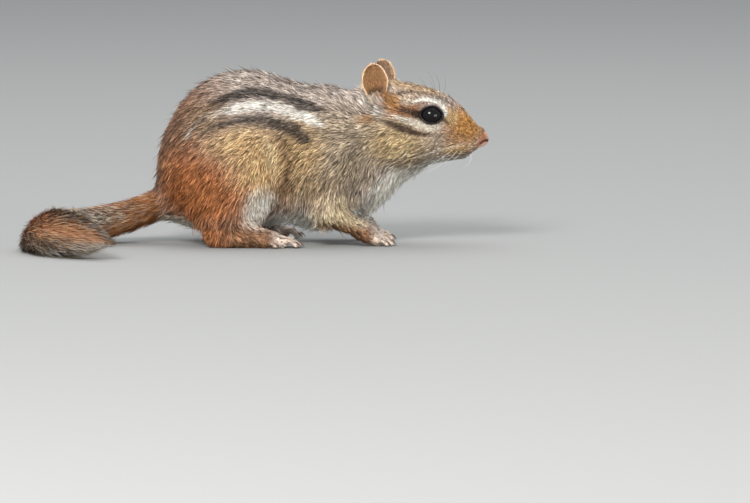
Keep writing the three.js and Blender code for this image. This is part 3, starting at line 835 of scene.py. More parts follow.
class Markings:
    """The coat's pattern, with a painted shadow and a painted highlight along the thigh's front edge, read alike
    by the skin and by each tuft.
    """

    LAYERS: tuple[Stripe | Patch, ...] = (
        Patch((-2, 19, 28), (26, 12, 20), Tones.OCHRE, 0.7, 0.85),
        Patch((14, 16, 34), (20, 14, 20), Tones.SHOULDER, 0.6, 0.9),
        Patch((-44, 6, 38), (25, 26, 34), Tones.RUMP, 0.7, 0.95),
        Patch((-32, 16, 20), (29, 22, 21), Tones.RUFOUS, 0.6, 0.98),
        Patch((-15, 24, 30), (14, 12, 14), Tones.GOLD, 0.8, 0.95),
        Patch((-22, 24, 38), (17, 12, 9), Tones.GOLD, 0.8, 0.8),
        Patch((0, 20, 34), (10, 12, 14), Tones.OCHRE, 0.8, 0.8),
        Patch((4, 0, 5), (36, 15, 10), Tones.BELLY, 0.4),
        Patch((9, 8, 7), (12, 12, 7), Tones.BELLY, 0.5, 0.9),
        Patch((-13, 21, 13), (8, 9, 9), Tones.BELLY, 0.9, 0.92),
        Patch((-42, 6, 4), (20, 14, 6), Tones.BELLY, 0.5, 0.9),
        Patch((30, 0, 18), (18, 13, 15), Tones.BELLY, 0.5),
        Patch((14, 15, 10), (12, 9, 9), srgb(208, 184, 146), 0.6, 0.9),
        Stripe(
            ((24, 0, 58), (8, 0, 58), (-12, 0, 63), (-30, 0, 61), (-46, 0, 48)),
            (1.6, 3.4, 2.6), srgb(70, 50, 36), 1.8, 0.9,
        ),
        Stripe(
            ((-41, 14, 40), (-34.6, 15.2, 47.7), (-26.8, 15.4, 52.8), (-19.6, 14.6, 55.2),
             (-12.5, 13.4, 55.8), (-5.4, 13.3, 54), (0.7, 13.8, 51.9), (7.5, 15.5, 49.2)),
            (3.0, 4.8, 5.0), Tones.BLACK, 2.2, 0.84,
        ),
        Stripe(
            ((-44, 15, 36), (-37.1, 15.6, 44.6), (-28.6, 17.6, 48.3), (-19.6, 17.5, 50.8),
             (-10.7, 16.5, 51.1), (-3.6, 16.4, 49.3), (1.8, 16.9, 47.2), (7.5, 18.1, 43.6)),
            (1.2, 3.9, 4.2), Tones.CREAM, 1.9, 0.95,
        ),
        Patch((-35, 16, 46), (13, 9, 8), srgb(148, 120, 94), 0.9, 0.85),
        Stripe(
            ((-36, 19.5, 40), (-30.7, 19.9, 43.9), (-21.4, 20.1, 46.1), (-13.6, 19.3, 46), (-7.1, 19.2, 44.0),
             (-1.8, 19.2, 41.6), (3.5, 19.5, 37.8)),
            (1.2, 3.8, 6.2), Tones.BLACK, 2.6, 0.84,
        ),
        # Painted shadow: a dark band on the flank along the thigh's front edge, where the thigh shades the
        # flank.
        Stripe(
            ((-10, 21, 42), (-5.4, 20.2, 37), (-4, 19.4, 30), (-4.8, 18.6, 23), (-6, 17.6, 16)),
            (1.6, 4.0, 3.4), srgb(104, 78, 52), 2.6, 0.75,
        ),
        # Painted highlight: a pale line along the rim of the thigh, just behind its front edge.
        Stripe(
            ((-13, 22, 40), (-10, 21.4, 34.5), (-9, 20.8, 28), (-10, 20.6, 21)),
            (3.0, 3.6, 3.0), srgb(228, 200, 158), 3.0, 0.6,
        ),
        Patch((36, 6, 38), (16, 14, 12), Tones.CHEEK, 0.6, 0.9, True),
        Patch((38, 0, 57), (20, 8.5, 8), Tones.CROWN, 0.5, 0.9, True),
        Patch((38, 11, 50), (9, 6, 6), Tones.TAWNY, 0.6, 0.9, True),
        Patch((57, 3, 42), (13, 8, 9), Tones.MUZZLE, 0.6, 0.95, True),
        Patch((55, 7, 46), (3.4, 4, 4), Tones.CHEEK, 0.8, 0.7, True),
        Patch((56, 5, 34.2), (8, 5, 2.8), srgb(206, 168, 112), 0.8, 0.8, True),
        Patch((49, 0, 25.2), (19, 9, 7.4), Tones.BELLY, 0.5, 0.95, True),
        Patch((30, 0, 26), (18, 10, 12), Tones.BELLY, 0.5, 0.9, True),
        Patch((39.5, 9.6, 52.2), (5, 4, 2.2), srgb(206, 190, 168), 0.9, 0.75, True),
        Patch((24.3, 11, 52), (3, 5, 3.4), srgb(180, 168, 158), 0.8, 0.8, True),
        Patch((29.3, 13, 48), (2.4, 4, 2.4), srgb(222, 212, 200), 0.8, 0.85, True),
        Patch((25, 13, 45.5), (5, 4, 2.6), srgb(176, 128, 76), 0.8, 0.7, True),
        Patch((34.5, 12, 53), (3.2, 4, 4.5), srgb(206, 150, 84), 0.7, 0.85, True),
        Stripe(
            ((31.8, 13, 51.3), (31.2, 13.2, 49.6), (30.2, 13.4, 47.4)),
            (1.8, 1.8, 1.2), Tones.BROWN, 1.0, 0.85, True,
        ),
        Stripe(
            ((34.9, 13.5, 46.9), (39.1, 13.2, 45.5), (43.4, 12.6, 44), (47.6, 11.4, 42.2), (51.6, 9.6, 42.8)),
            (1.8, 2.9, 1.8), srgb(234, 220, 200), 1.9, 0.85, True,
        ),
        Stripe(
            ((31.6, 13.9, 45.0), (34.9, 14.1, 43.4), (39.2, 13.8, 41.9), (44.1, 12.8, 40.3), (50, 10.6, 39.6)),
            (1.6, 3.2, 1.2), Tones.BROWN, 2.0, 0.95, True,
        ),
        Stripe(
            ((34, 12.6, 50.2), (37.6, 12.2, 49.4), (40.3, 11.5, 48.7), (42.8, 11, 47.8), (44.6, 10.8, 46.9)),
            (1.2, 2.0, 2.2), Tones.BROWN, 1.2, 0.95, True,
        ),
        Stripe(
            ((51.7, 9.6, 45.4), (53.1, 9, 44.8), (55.0, 8.2, 43.6)),
            (1.7, 1.3, 0.8), Tones.BROWN, 0.9, 0.8, True,
        ),
        Stripe(
            ((41.4, 9.4, 51.8), (43.6, 8.2, 52.3), (46.9, 7.2, 52.3), (50, 7, 51.2), (52.2, 7.6, 49.2),
             (53.3, 8.4, 46.4)),
            (0.6, 2.5, 2.4), Tones.WHITE, 1.1, 1.0, True,
        ),
        Stripe(
            ((36, 9, 54.5), (41, 6.6, 56), (47, 5, 55.8), (52, 4.6, 53.4), (56, 4.4, 50)),
            (1.6, 2.2, 1.2), Tones.BROWN, 1.8, 0.6, True,
        ),
    )

    def __init__(self) -> None:
        """Draws the waves of a slow unevenness."""
        rng = np.random.default_rng(SEED)
        self.waves = rng.normal(0, 1, (8, 3))
        self.phases = rng.uniform(0, 2 * np.pi, 8)

    def ripple(self, p: Array, size: float) -> Array:
        """A smooth noise from -1 to 1: the mean of eight sine waves about a size long."""
        return np.sin((p @ self.waves.T) * (2 * np.pi / size / 1.7) + self.phases).mean(-1) * 2.2

    def color(self, p: Array) -> Array:
        """The coat's colour, with each point moved out to the coat's own surface and a little to and fro.

        Args:
            p: Points in the part's axes.

        Returns:
            Linear colours.
        """
        p = p - slope(Anatomy.flesh, p, 0.3) * Anatomy.flesh(p)[:, None]
        wobble = 0.45 * np.stack([self.ripple(p + k * 40.0, 5.0) for k in range(3)], -1)
        trunk = mirrored(p) + wobble
        head = mirrored(to_head(p)) + wobble * 0.5
        tone = np.broadcast_to(Tones.GRIZZLE, p.shape).copy()
        for layer in self.LAYERS:
            share = layer.cover(trunk, head)[..., None]
            tone = tone * (1 - share) + layer.color * share
        feet = (ramp(trunk[..., 1], 9, 11) * (1 - ramp(p[..., 2], 5, 9)))[..., None]
        x = p[..., 0]
        toward_toes = np.maximum(ramp(x, 24, 28), ramp(x, -12, -7) * (1 - ramp(x, 2, 4)))
        heel = (1 - ramp(x, -32, -22))[..., None]
        foot = Tones.FOOT + (Tones.TOE - Tones.FOOT) * toward_toes[..., None]
        foot = foot * (1 - heel) + Tones.RUFOUS * heel
        tone = tone * (1 - feet * 0.9) + foot * feet * 0.9
        return tone * (1 + 0.10 * self.ripple(p, 9.0))[..., None]


@dataclass(frozen=True)
class Guide:
    """How the coat lies at one place on the left side.

    Attributes:
        place: A point on the coat.
        lie: The way the hair points.
        length: Hair length in millimetres.
        lift: Degrees that the hair stands off the skin.
        on_head: Whether place and lie are in the head's pose.
    """

    place: Vec
    lie: Vec
    length: float
    lift: float = 16.0
    on_head: bool = False


GUIDES = tuple(
    Guide(*row)
    for row in (
        ((20, 0, 57), (-1, 0, 0), 3.1), ((0, 0, 59), (-1, 0, 0.1), 3.7), ((-20, 0, 62), (-1, 0, 0), 3.7),
        ((-40, 0, 55), (-0.8, 0, -0.6), 4), ((-50, 0, 38), (-0.35, 0, -0.95), 4.3),
        ((-56, 0, 20), (-0.7, 0, -0.7), 3.7), ((-58, 3, 11), (-1, 0, -0.3), 3.4),
        ((5, 15, 46), (-1, 0, -0.25), 3.4), ((-15, 18, 48), (-1, 0, -0.1), 3.4),
        ((-35, 15, 46), (-0.85, 0, -0.55), 3.7), ((12, 18, 32), (-0.75, 0, -0.65), 3.7),
        ((11, 18, 19), (-0.35, 0, -0.95), 3.7), ((26, 9, 26), (-0.35, 0.2, -0.9), 4.2, 22),
        ((30, 0, 18), (-0.3, 0, -0.95), 4.8, 26), ((22, 14, 42), (-0.9, 0, -0.4), 3.4),
        ((-5, 19, 30), (-0.7, 0, -0.7), 3.7), ((0, 17, 15), (-0.35, 0, -0.95), 5.5, 12),
        ((0, 0, 6), (-1, 0, -0.4), 5, 22), ((6, 11, 8), (-0.35, 0.1, -0.95), 6.5, 10),
        ((-2, 12, 8), (-0.5, 0.1, -0.9), 6.5, 14), ((-14, 12, 10), (-0.6, 0, -0.8), 5.5, 16),
        ((-24, 24, 41), (-0.9, 0, -0.45), 3.4), ((-9, 24, 30), (-0.3, 0, -0.95), 3.1),
        ((-7, 22, 22), (-0.05, 0, -1), 3.1), ((-25, 26, 25), (-0.6, 0, -0.8), 3.4),
        ((-40, 20, 26), (-0.6, 0, -0.8), 3.7), ((-12, 23, 12), (-0.15, 0, -1), 3.1),
        ((-26, 23, 11), (-0.4, 0.1, -0.95), 6.2, 24), ((-36, 21, 12), (-0.5, 0.1, -0.9), 6, 22),
        ((-30, 22, 5), (-0.1, 0, -1), 3, 12), ((-46, 12, 20), (-0.7, 0, -0.7), 4),
        ((-40, 8, 5), (-1, 0, -0.1), 3.7), ((-20, 19, 7), (0.9, 0, -0.35), 1.9, 10),
        ((-31, 18, 3), (-0.2, 0, -0.9), 2, 10), ((-9, 19, 5), (1, 0, -0.2), 1.1, 8),
        ((-2, 19, 3), (1, 0, -0.2), 0.8, 8), ((14, 15, 11), (0.7, 0, -0.7), 2.8, 12),
        ((21, 13, 8), (0.85, 0, -0.5), 1.7, 10), ((28, 11.5, 4), (1, 0, -0.3), 0.8, 8),
        ((64, 0, 41), (-1, 0, 0.4), 0.8, 14, True), ((58, 2, 44), (-1, 0, 0.45), 1.4, 16, True),
        ((53, 3, 49), (-1, 0, 0.5), 1.9, 16, True), ((44, 0, 55), (-1, 0, 0.2), 2.2, 16, True),
        ((32, 0, 59), (-1, 0, -0.1), 2.8, 16, True), ((60, 4, 36), (-1, 0.3, -0.1), 1, 12, True),
        ((56, 6, 38), (-1, 0.2, 0), 1.4, 14, True), ((50, 9, 38), (-0.95, 0.2, -0.2), 2, 14, True),
        ((42, 12, 38), (-0.95, 0.1, -0.3), 2.7, 16, True), ((33, 14, 38), (-0.85, 0, -0.5), 2.9, 16, True),
        ((52, 2, 31), (-1, 0.1, 0.05), 1.5, 7, True), ((58, 1, 31), (-1, 0.1, 0.1), 1, 6, True),
        ((40, 4, 27), (-0.9, 0.1, -0.5), 3.8, 26, True), ((48, 8, 53), (-0.95, 0.1, 0.25), 1.4, 10, True),
        ((54, 8, 46), (-0.9, 0.3, 0.3), 1, 10, True), ((48, 11, 43), (-0.95, 0.2, -0.15), 1.2, 8, True),
        ((43, 11, 47), (-1, 0.1, 0), 1.4, 8, True), ((36, 12, 50), (-0.95, 0, 0.1), 2.2, 12, True),
        ((28, 13, 46), (-0.8, 0, -0.5), 2.8, 16, True), ((24, 9, 53), (-0.8, 0, 0.2), 3.6, 26, True),
        ((30.8, 13.6, 49), (-0.25, 0.25, 0.95), 4.4, 34, True),
        ((26.5, 12.6, 49.6), (-0.3, 0.2, 0.9), 4.4, 34, True),
        ((34, 12, 51.6), (-0.6, 0.25, 0.75), 3.6, 30, True),
        ((24, 11.5, 50.5), (-0.6, 0.2, 0.6), 4.2, 32, True),
        ((31, 7.5, 57.2), (-0.7, 0.3, 0.5), 2.6, 22, True),
    )
)


class Lie:
    """The way, length and lift of the coat anywhere, blended from the guides."""

    BATCH = 40_000
    EYE_REACH = 1.3

    def __init__(self) -> None:
        """Gathers the guides' values in the part's axes, the head's turned with it on each side."""
        places, ways, sizes = [], [], []
        for side in SIDES.values():
            for guide in GUIDES:
                place = np.array(guide.place) * (1, side, 1)
                way = np.array(guide.lie) * (1, side, 1)
                if guide.on_head:
                    place, way = from_head(place), turned_way(way)
                places.append(place)
                ways.append(unit(way))
                sizes.append((guide.length, guide.lift))
        self.places, self.ways, self.sizes = np.array(places), np.array(ways), np.array(sizes)

    def at(self, p: Array) -> tuple[Array, Array, Array]:
        """Ways, lengths and lifts: the guides' own, weighted by 1/(d^2 + 4)^2, and swept away near the eye.

        Args:
            p: Points in the part's axes.

        Returns:
            Unit directions, lengths in millimetres and lifts in degrees.
        """
        way, size = np.empty((len(p), 3)), np.empty((len(p), 2))
        for start in range(0, len(p), self.BATCH):
            rows = slice(start, start + self.BATCH)
            d2 = ((p[rows][:, None] - self.places[None]) ** 2).sum(-1)
            w = 1 / (d2 + 4.0) ** 2
            w /= w.sum(-1, keepdims=True)
            way[rows] = w @ self.ways
            size[rows] = w @ self.sizes
        q = mirrored(to_head(p))
        gap = Anatomy.opening(q)
        r = q - np.array(EYE_CENTRE)
        close = (np.abs(r).max(-1) < 9) * np.exp(-np.maximum(gap, 0) / self.EYE_REACH)
        out, _, _ = Anatomy.eye_axes()
        away = unit(r - (r @ out)[:, None] * out) * np.where(p[:, 1:2] * [0, 1, 0] < 0, -1, 1)
        way = unit(unit(way) + 1.5 * close[:, None] * turned_way(away))
        return way, size[:, 0] * (1 - 0.62 * close), size[:, 1] * (1 - 0.5 * close)


@dataclass
class Tufts:
    """Many tufts of hair, as arrays with one row each.

    Attributes:
        line: Points of each middle line at its root, two places on the way and its tip.
        side: Direction of its width.
        width: Width at the root.
        tones: Linear colours at the same four places.
        normal: Shading normal.
        uv: Its root's place on the unwrapped skin.
    """

    line: Array
    side: Array
    width: Array
    tones: Array
    normal: Array
    uv: Array

    PLACES = (0.0, 0.36, 0.7, 1.0)
    TAPER = (1.0, 0.86, 0.5)
    FACES = np.array([[0, 1, 3], [0, 3, 2], [2, 3, 5], [2, 5, 4], [4, 5, 6]])
    BAKE_SHAPE = np.array([[0, 0], [1, 0], [0, 0.4], [1, 0.4], [0.2, 0.8], [0.8, 0.8], [0.5, 1]]) - 0.5
    BAKE_SIZE = 0.003
    BAKE_RIM = 0.004

    def chosen(self, rows: Array) -> "Tufts":
        """The tufts at some rows."""
        return Tufts(*(getattr(self, field.name)[rows] for field in fields(self)))

    def build(self, name: str, material: bpy.types.Material) -> bpy.types.Object:
        """Flat strips: two vertices at each of three places, half a width to each side, and one at the tip.

        Args:
            name: The object's name.
            material: Its finish.

        Returns:
            One object of them all.
        """
        n = len(self.width)
        faced = (np.cross(self.side, self.line[:, 3] - self.line[:, 0]) * self.normal).sum(-1)
        half = (self.side * (np.where(faced < 0, -0.5, 0.5) * self.width)[:, None])[:, None]
        points = np.empty((n, 7, 3))
        for i, share in enumerate(self.TAPER):
            points[:, 2 * i] = self.line[:, i] - half[:, 0] * share
            points[:, 2 * i + 1] = self.line[:, i] + half[:, 0] * share
        points[:, 6] = self.line[:, 3]
        points[..., 2] = np.maximum(points[..., 2], FLOOR_GAP)
        tint = self.tones[:, [0, 0, 1, 1, 2, 2, 3]]
        normal = np.repeat(self.normal[:, None], 7, 1)
        low, high = self.uv.min(0), self.uv.max(0)
        own = self.BAKE_RIM + (1 - 2 * self.BAKE_RIM) * (self.uv - low) / np.maximum(high - low, 1e-6)
        uv = np.clip(own[:, None] + self.BAKE_SHAPE * self.BAKE_SIZE, 0, 1).reshape(-1, 2)
        faces = (np.arange(n)[:, None, None] * 7 + self.FACES).reshape(-1, 3)
        points, tint, normal = (values.reshape(-1, 3) for values in (points, tint, normal))
        return make_mesh(name, points, faces, material, tint, normal, uv)


def along_and_across(way: Array, normal: Array) -> tuple[Array, Array]:
    """The lie along the surface and the direction across it."""
    along = unit(way - normal * (way * normal).sum(-1, keepdims=True))
    return along, np.cross(normal, along)


@dataclass
class Coat:
    """Scatters tufts over the skin and gives each its shape and colours.

    Attributes:
        points: The skin's vertices in millimetres.
        quads: Its faces.
        markings: The pattern.
        density: Tufts a square millimetre, times the hair's length.
        least: What is added to the length before it divides the density.
        lock: Size of the large clumps, in millimetres.
        wisp: Size of the small clumps, of long hair and of short.
        long_hair: The length that parts long hair from short.
        spread: How much each tuft's length differs, by its large clump, its small clump and itself.
        stray_share: Share of the tufts that stand off the coat.
        stray_length: How much longer those are.
        stray_lift: How many degrees more they stand off.
        gather: How far a tip is pulled to its small clump's middle.
        width: A tuft's width at no length, and what each millimetre of length adds.
        black_above: The draw past which a tip is black.
        pale_below: The draw under which a tip is pale.
        pale_in_black: The draw under which a tip in a black stripe is pale.
    """

    points: Array
    quads: Array
    markings: Markings
    density: float = 62.0
    least: float = 1.4
    lock: float = 1.7
    wisp: tuple[float, float] = (0.5, 0.44)
    long_hair: float = 2.4
    spread: Vec = (0.05, 0.13, 0.1)
    stray_share: float = 0.025
    stray_length: float = 1.35
    stray_lift: float = 14.0
    gather: float = 0.6
    width: tuple[float, float] = (0.12, 0.026)
    black_above: float = 0.7
    pale_below: float = -0.25
    pale_in_black: float = -0.8

    def __post_init__(self) -> None:
        """Starts the draws."""
        self.lie = Lie()
        self.rng = np.random.default_rng(SEED + 1)

    def roots(self) -> tuple[Array, Array]:
        """Roots spread evenly over each triangle of the skin, density/(length + least) a square millimetre.

        Returns:
            Places and normals.
        """
        corners = self.points[np.concatenate([self.quads[:, [0, 1, 2]], self.quads[:, [0, 2, 3]]])]
        normals = np.cross(corners[:, 1] - corners[:, 0], corners[:, 2] - corners[:, 0])
        areas = np.linalg.norm(normals, axis=-1) / 2
        _, length, _ = self.lie.at(corners.mean(1))
        expected = areas * self.density / (length + self.least)
        counts = np.floor(expected + self.rng.random(len(expected))).astype(int)
        chosen = np.repeat(np.arange(len(counts)), counts)
        a, b = self.rng.random((2, len(chosen)))
        over = a + b > 1
        a[over], b[over] = 1 - a[over], 1 - b[over]
        c = corners[chosen]
        place = c[:, 0] + a[:, None] * (c[:, 1] - c[:, 0]) + b[:, None] * (c[:, 2] - c[:, 0])
        return place, unit(slope(Anatomy.flesh, place, 0.4))

    @staticmethod
    def bare(p: Array) -> Array:
        """Where no hair grows: the eye's opening, the nose pad, the mouth line and the soles.

        Args:
            p: Points in the part's axes.

        Returns:
            True where it is bare.
        """
        q = mirrored(to_head(p))
        out, back, up = Anatomy.eye_axes()
        r = q - np.array(EYE_CENTRE)
        a, b, c = r @ back, r @ up, r @ out
        rim = 0.75
        eye = ((a / (EYE_HALF[0] + rim)) ** 2 + (b / (EYE_HALF[1] + rim)) ** 2 < 1) & (c > 0)
        nose = BARE_NOSE.distance(q) < -0.05
        near_mouth = (q[:, 0] > 52) & (q[:, 2] < 38)
        mouth = np.zeros(len(p), bool)
        mouth[near_mouth] = to_line(q[near_mouth], MOUTH)[0] < 0.42
        sole = p[:, 2] < 0.5
        return eye | nose | mouth | sole

    def grow(self) -> Tufts:
        """All tufts of the short coat.

        At a share t of its length L a tuft is L t cos(rise) along and L(1.25 t sin(rise) - 0.16 t^2) out from
        its root, and is pulled to its clump's middle. Each angle and length varies by clump and by tuft.

        Returns:
            The tufts.
        """
        place, normal = self.roots()
        keep = ~self.bare(place)
        place, normal = place[keep], normal[keep]
        n = len(place)
        way, length, lift = self.lie.at(place)
        big = self.clump(place, self.lock)
        long, short = (self.clump(place, size) for size in self.wisp)
        fine = np.where(length > self.long_hair, long, short + 7)
        shared = np.random.default_rng(SEED + 2).normal(0, 1, (16381, 4))[big % 16381]
        close = np.random.default_rng(SEED + 3).normal(0, 1, (65521, 5))[fine % 65521]
        _, index, members = np.unique(fine, return_inverse=True, return_counts=True)
        middle = np.stack([np.bincount(index, place[:, k]) for k in range(3)], -1) / members[:, None]
        own = self.rng.normal(0, 1, (n, 5))
        along, across = along_and_across(way, normal)
        slow = self.markings.ripple(place, 14.0)
        turn = 0.07 * shared[:, 0] + 0.15 * close[:, 0] + 0.06 * own[:, 0] + 0.12 * slow
        along, across = (
            along * np.cos(turn)[:, None] + across * np.sin(turn)[:, None],
            across * np.cos(turn)[:, None] - along * np.sin(turn)[:, None],
        )
        stray = self.rng.random(n) < self.stray_share
        lock, wisp, hair = self.spread
        length = length * np.clip(0.92 + lock * shared[:, 1] + wisp * close[:, 1] + hair * own[:, 1], 0.5, 1.5)
        length = length * np.where(stray, self.stray_length, 1.0)
        rise = lift + 2 * shared[:, 2] + 4 * close[:, 2] + 3 * own[:, 2] + self.stray_lift * stray
        rise = np.radians(np.clip(rise, 3, 50))
        pull = (middle[index] - place) * self.gather
        line = np.empty((n, 4, 3))
        for i, t in enumerate(Tufts.PLACES):
            out = np.sin(rise) * t * 1.25 - 0.16 * t * t
            way = along * (np.cos(rise) * t)[:, None] + normal * out[:, None]
            line[:, i] = place + length[:, None] * way
            line[:, i] += pull * t
        line[:, 0] -= normal * 0.15
        roll = 0.5 * own[:, 3]
        side = across * np.cos(roll)[:, None] + normal * np.sin(roll)[:, None]
        width = (self.width[0] + self.width[1] * length) * np.exp(0.18 * own[:, 4])
        tones = self.tones(line[:, 2], length, shared, close, stray)
        tilt = across * (0.30 * close[:, 4:5] + 0.10 * shared[:, 3:4])
        shading = unit(normal + 0.26 * np.cross(side, along) + 0.12 * own[:, :3] + tilt)
        return Tufts(line, side, width, tones, shading, self.unrolled(place))

    @staticmethod
    def unrolled(place: Array) -> Array:
        """Each root's place along the body, and its angle from the top about the body's middle line.

        Args:
            place: The roots.

        Returns:
            Pairs, as far apart on the bake map as the roots are on the body.
        """
        x, y, z = place.T
        middle = np.interp(x, [-60, -20, 20, 45, 66], [22, 30, 34, 42, 38])
        sideways = np.where(x > 20, (x - 20) * -0.14, 0)
        return np.stack([x, np.arctan2(np.abs(y - sideways), z - middle)], -1)

    @staticmethod
    def clump(place: Array, size: float) -> Array:
        """A number for each cell of a grid whose lines are bent by a sine."""
        cell = np.floor(place / size + 1.2 * np.sin(place[:, [1, 2, 0]] / (3.1 * size))).astype(np.int64)
        return np.abs(cell @ np.array([73856093, 19349663, 83492791]))

    def tones(self, place: Array, length: Array, shared: Array, close: Array, stray: Array) -> Array:
        """Colours along each tuft: a dark underfur with painted shade at the root, the pattern's colour, and
        pale or black at the tip.

        Args:
            place: Where the outer half of each tuft lies.
            length: Their lengths.
            shared: What the tufts of one large clump have in common.
            close: What those of one small clump have in common.
            stray: Which tufts stand off the coat.

        Returns:
            Linear colours at four places along each.
        """
        n = len(place)
        base = self.markings.color(place)
        light = base.mean(-1, keepdims=True)
        dark_area = ramp(-light, -0.07, -0.02)
        pale_area = ramp(light, 0.55, 0.75)
        middle = 1 - np.maximum(dark_area, pale_area)
        apart = np.interp(length, [1.6, 2.6], [0.3, 0.66])[:, None]
        own = self.rng.normal(0, 1, (n, 1))
        draw = np.sqrt(1 - apart**2) * close[:, 3:4] + apart * own + 0.6 * stray[:, None]
        amount = np.interp(length, [0.8, 1.4, 3.0], [0.85, 1.0, 1.0])[:, None] * middle
        black_tip = (draw > self.black_above) * amount
        pale_tip = (draw < self.pale_below) * amount + (draw < self.pale_in_black) * dark_area
        gain = np.exp(0.18 * self.rng.normal(0, 1, (n, 1)) + 0.12 * shared[:, 3:4] + 0.16 * close[:, 2:3])
        # Painted shade: each tuft darkens from tip to root, partly for the real grey underfur and partly for the
        # shade deep in the coat.
        under = base * 0.28
        low = base * (0.62 - 0.25 * black_tip)
        mid = base * (1 - 0.5 * black_tip)
        tip = base * (1.1 - 0.95 * black_tip)
        pale = np.minimum(base * 1.55 + 0.045 + 0.16 * dark_area, 0.92)
        mid = mid * (1 - 0.7 * pale_tip) + pale * 0.7 * pale_tip
        tip = tip * (1 - pale_tip) + pale * 1.12 * pale_tip
        return np.stack([under, low, mid, tip], 1) * gain[:, None]


class TailLine:
    """The tail's middle line with its cross-sections."""

    def __init__(self, count: int = 320) -> None:
        """Draws the centripetal Catmull-Rom curve through the stations, and takes even steps along it.

        Between two stations it is a blend of blends of straight lines, timed by the square roots of the gaps.

        Args:
            count: How many steps.
        """
        nodes = np.array(TAIL_LINE, float)
        padded = np.concatenate([[2 * nodes[0] - nodes[1]], nodes, [2 * nodes[-1] - nodes[-2]]])
        curve = []
        for a, b, c, d in zip(padded[:-3], padded[1:-2], padded[2:-1], padded[3:]):
            gaps = [np.linalg.norm(b - a), np.linalg.norm(c - b), np.linalg.norm(d - c)]
            k = np.cumsum([0, *np.sqrt(gaps)])
            t = np.linspace(k[1], k[2], 60, endpoint=False)[:, None]
            a1 = (k[1] - t) / (k[1] - k[0]) * a + (t - k[0]) / (k[1] - k[0]) * b
            a2 = (k[2] - t) / (k[2] - k[1]) * b + (t - k[1]) / (k[2] - k[1]) * c
            a3 = (k[3] - t) / (k[3] - k[2]) * c + (t - k[2]) / (k[3] - k[2]) * d
            b1 = (k[2] - t) / (k[2] - k[0]) * a1 + (t - k[0]) / (k[2] - k[0]) * a2
            b2 = (k[3] - t) / (k[3] - k[1]) * a2 + (t - k[1]) / (k[3] - k[1]) * a3
            curve.append((k[2] - t) / (k[2] - k[1]) * b1 + (t - k[1]) / (k[2] - k[1]) * b2)
        curve = np.concatenate([*curve, nodes[-1:]])
        run = np.concatenate([[0], np.cumsum(np.linalg.norm(np.diff(curve, axis=0), axis=-1))])
        self.length = run[-1]
        self.shares = np.linspace(0, 1, count)
        self.middle = np.stack([np.interp(self.shares * self.length, run, curve[:, k]) for k in range(3)], -1)
        self.forwards = unit(np.gradient(self.middle, axis=0))
        level = unit(np.cross([0.0, 0, 1], self.forwards))
        roll = np.radians(np.interp(self.shares, np.linspace(0, 1, len(TAIL_ROLL)), TAIL_ROLL))[:, None]
        lifted = np.cross(self.forwards, level)
        self.across = level * np.cos(roll) + lifted * np.sin(roll)
        self.over = np.cross(self.forwards, self.across)

    def read(self, table: Array, share: Array) -> Array:
        """Rows of a table at shares of the way, blended between its steps."""
        return np.stack([np.interp(share, self.shares, table[:, k]) for k in range(3)], -1)

    def point(self, share: Array, angle: Array, reach: Array) -> Array:
        """Points round the tail.

        Args:
            share: Shares of the way along, which run straight on past 1.
            angle: Radians round, from across towards over.
            reach: Shares of the way from the middle line to the tips of the hair.

        Returns:
            Points in the part's axes.
        """
        inside = np.clip(share, 0, 1)
        stations = np.linspace(0, 1, len(TAIL_HALF_WIDTH))
        wide = np.interp(inside, stations, TAIL_HALF_WIDTH) * np.cos(angle) * reach
        thick = np.interp(inside, stations, TAIL_HALF_THICKNESS) * np.sin(angle) * reach
        past = ((share - inside) * self.length)[:, None] * self.read(self.forwards, inside)
        p = self.read(self.middle, inside) + past
        p = p + self.read(self.across, inside) * wide[:, None]
        return p + self.read(self.over, inside) * thick[:, None]


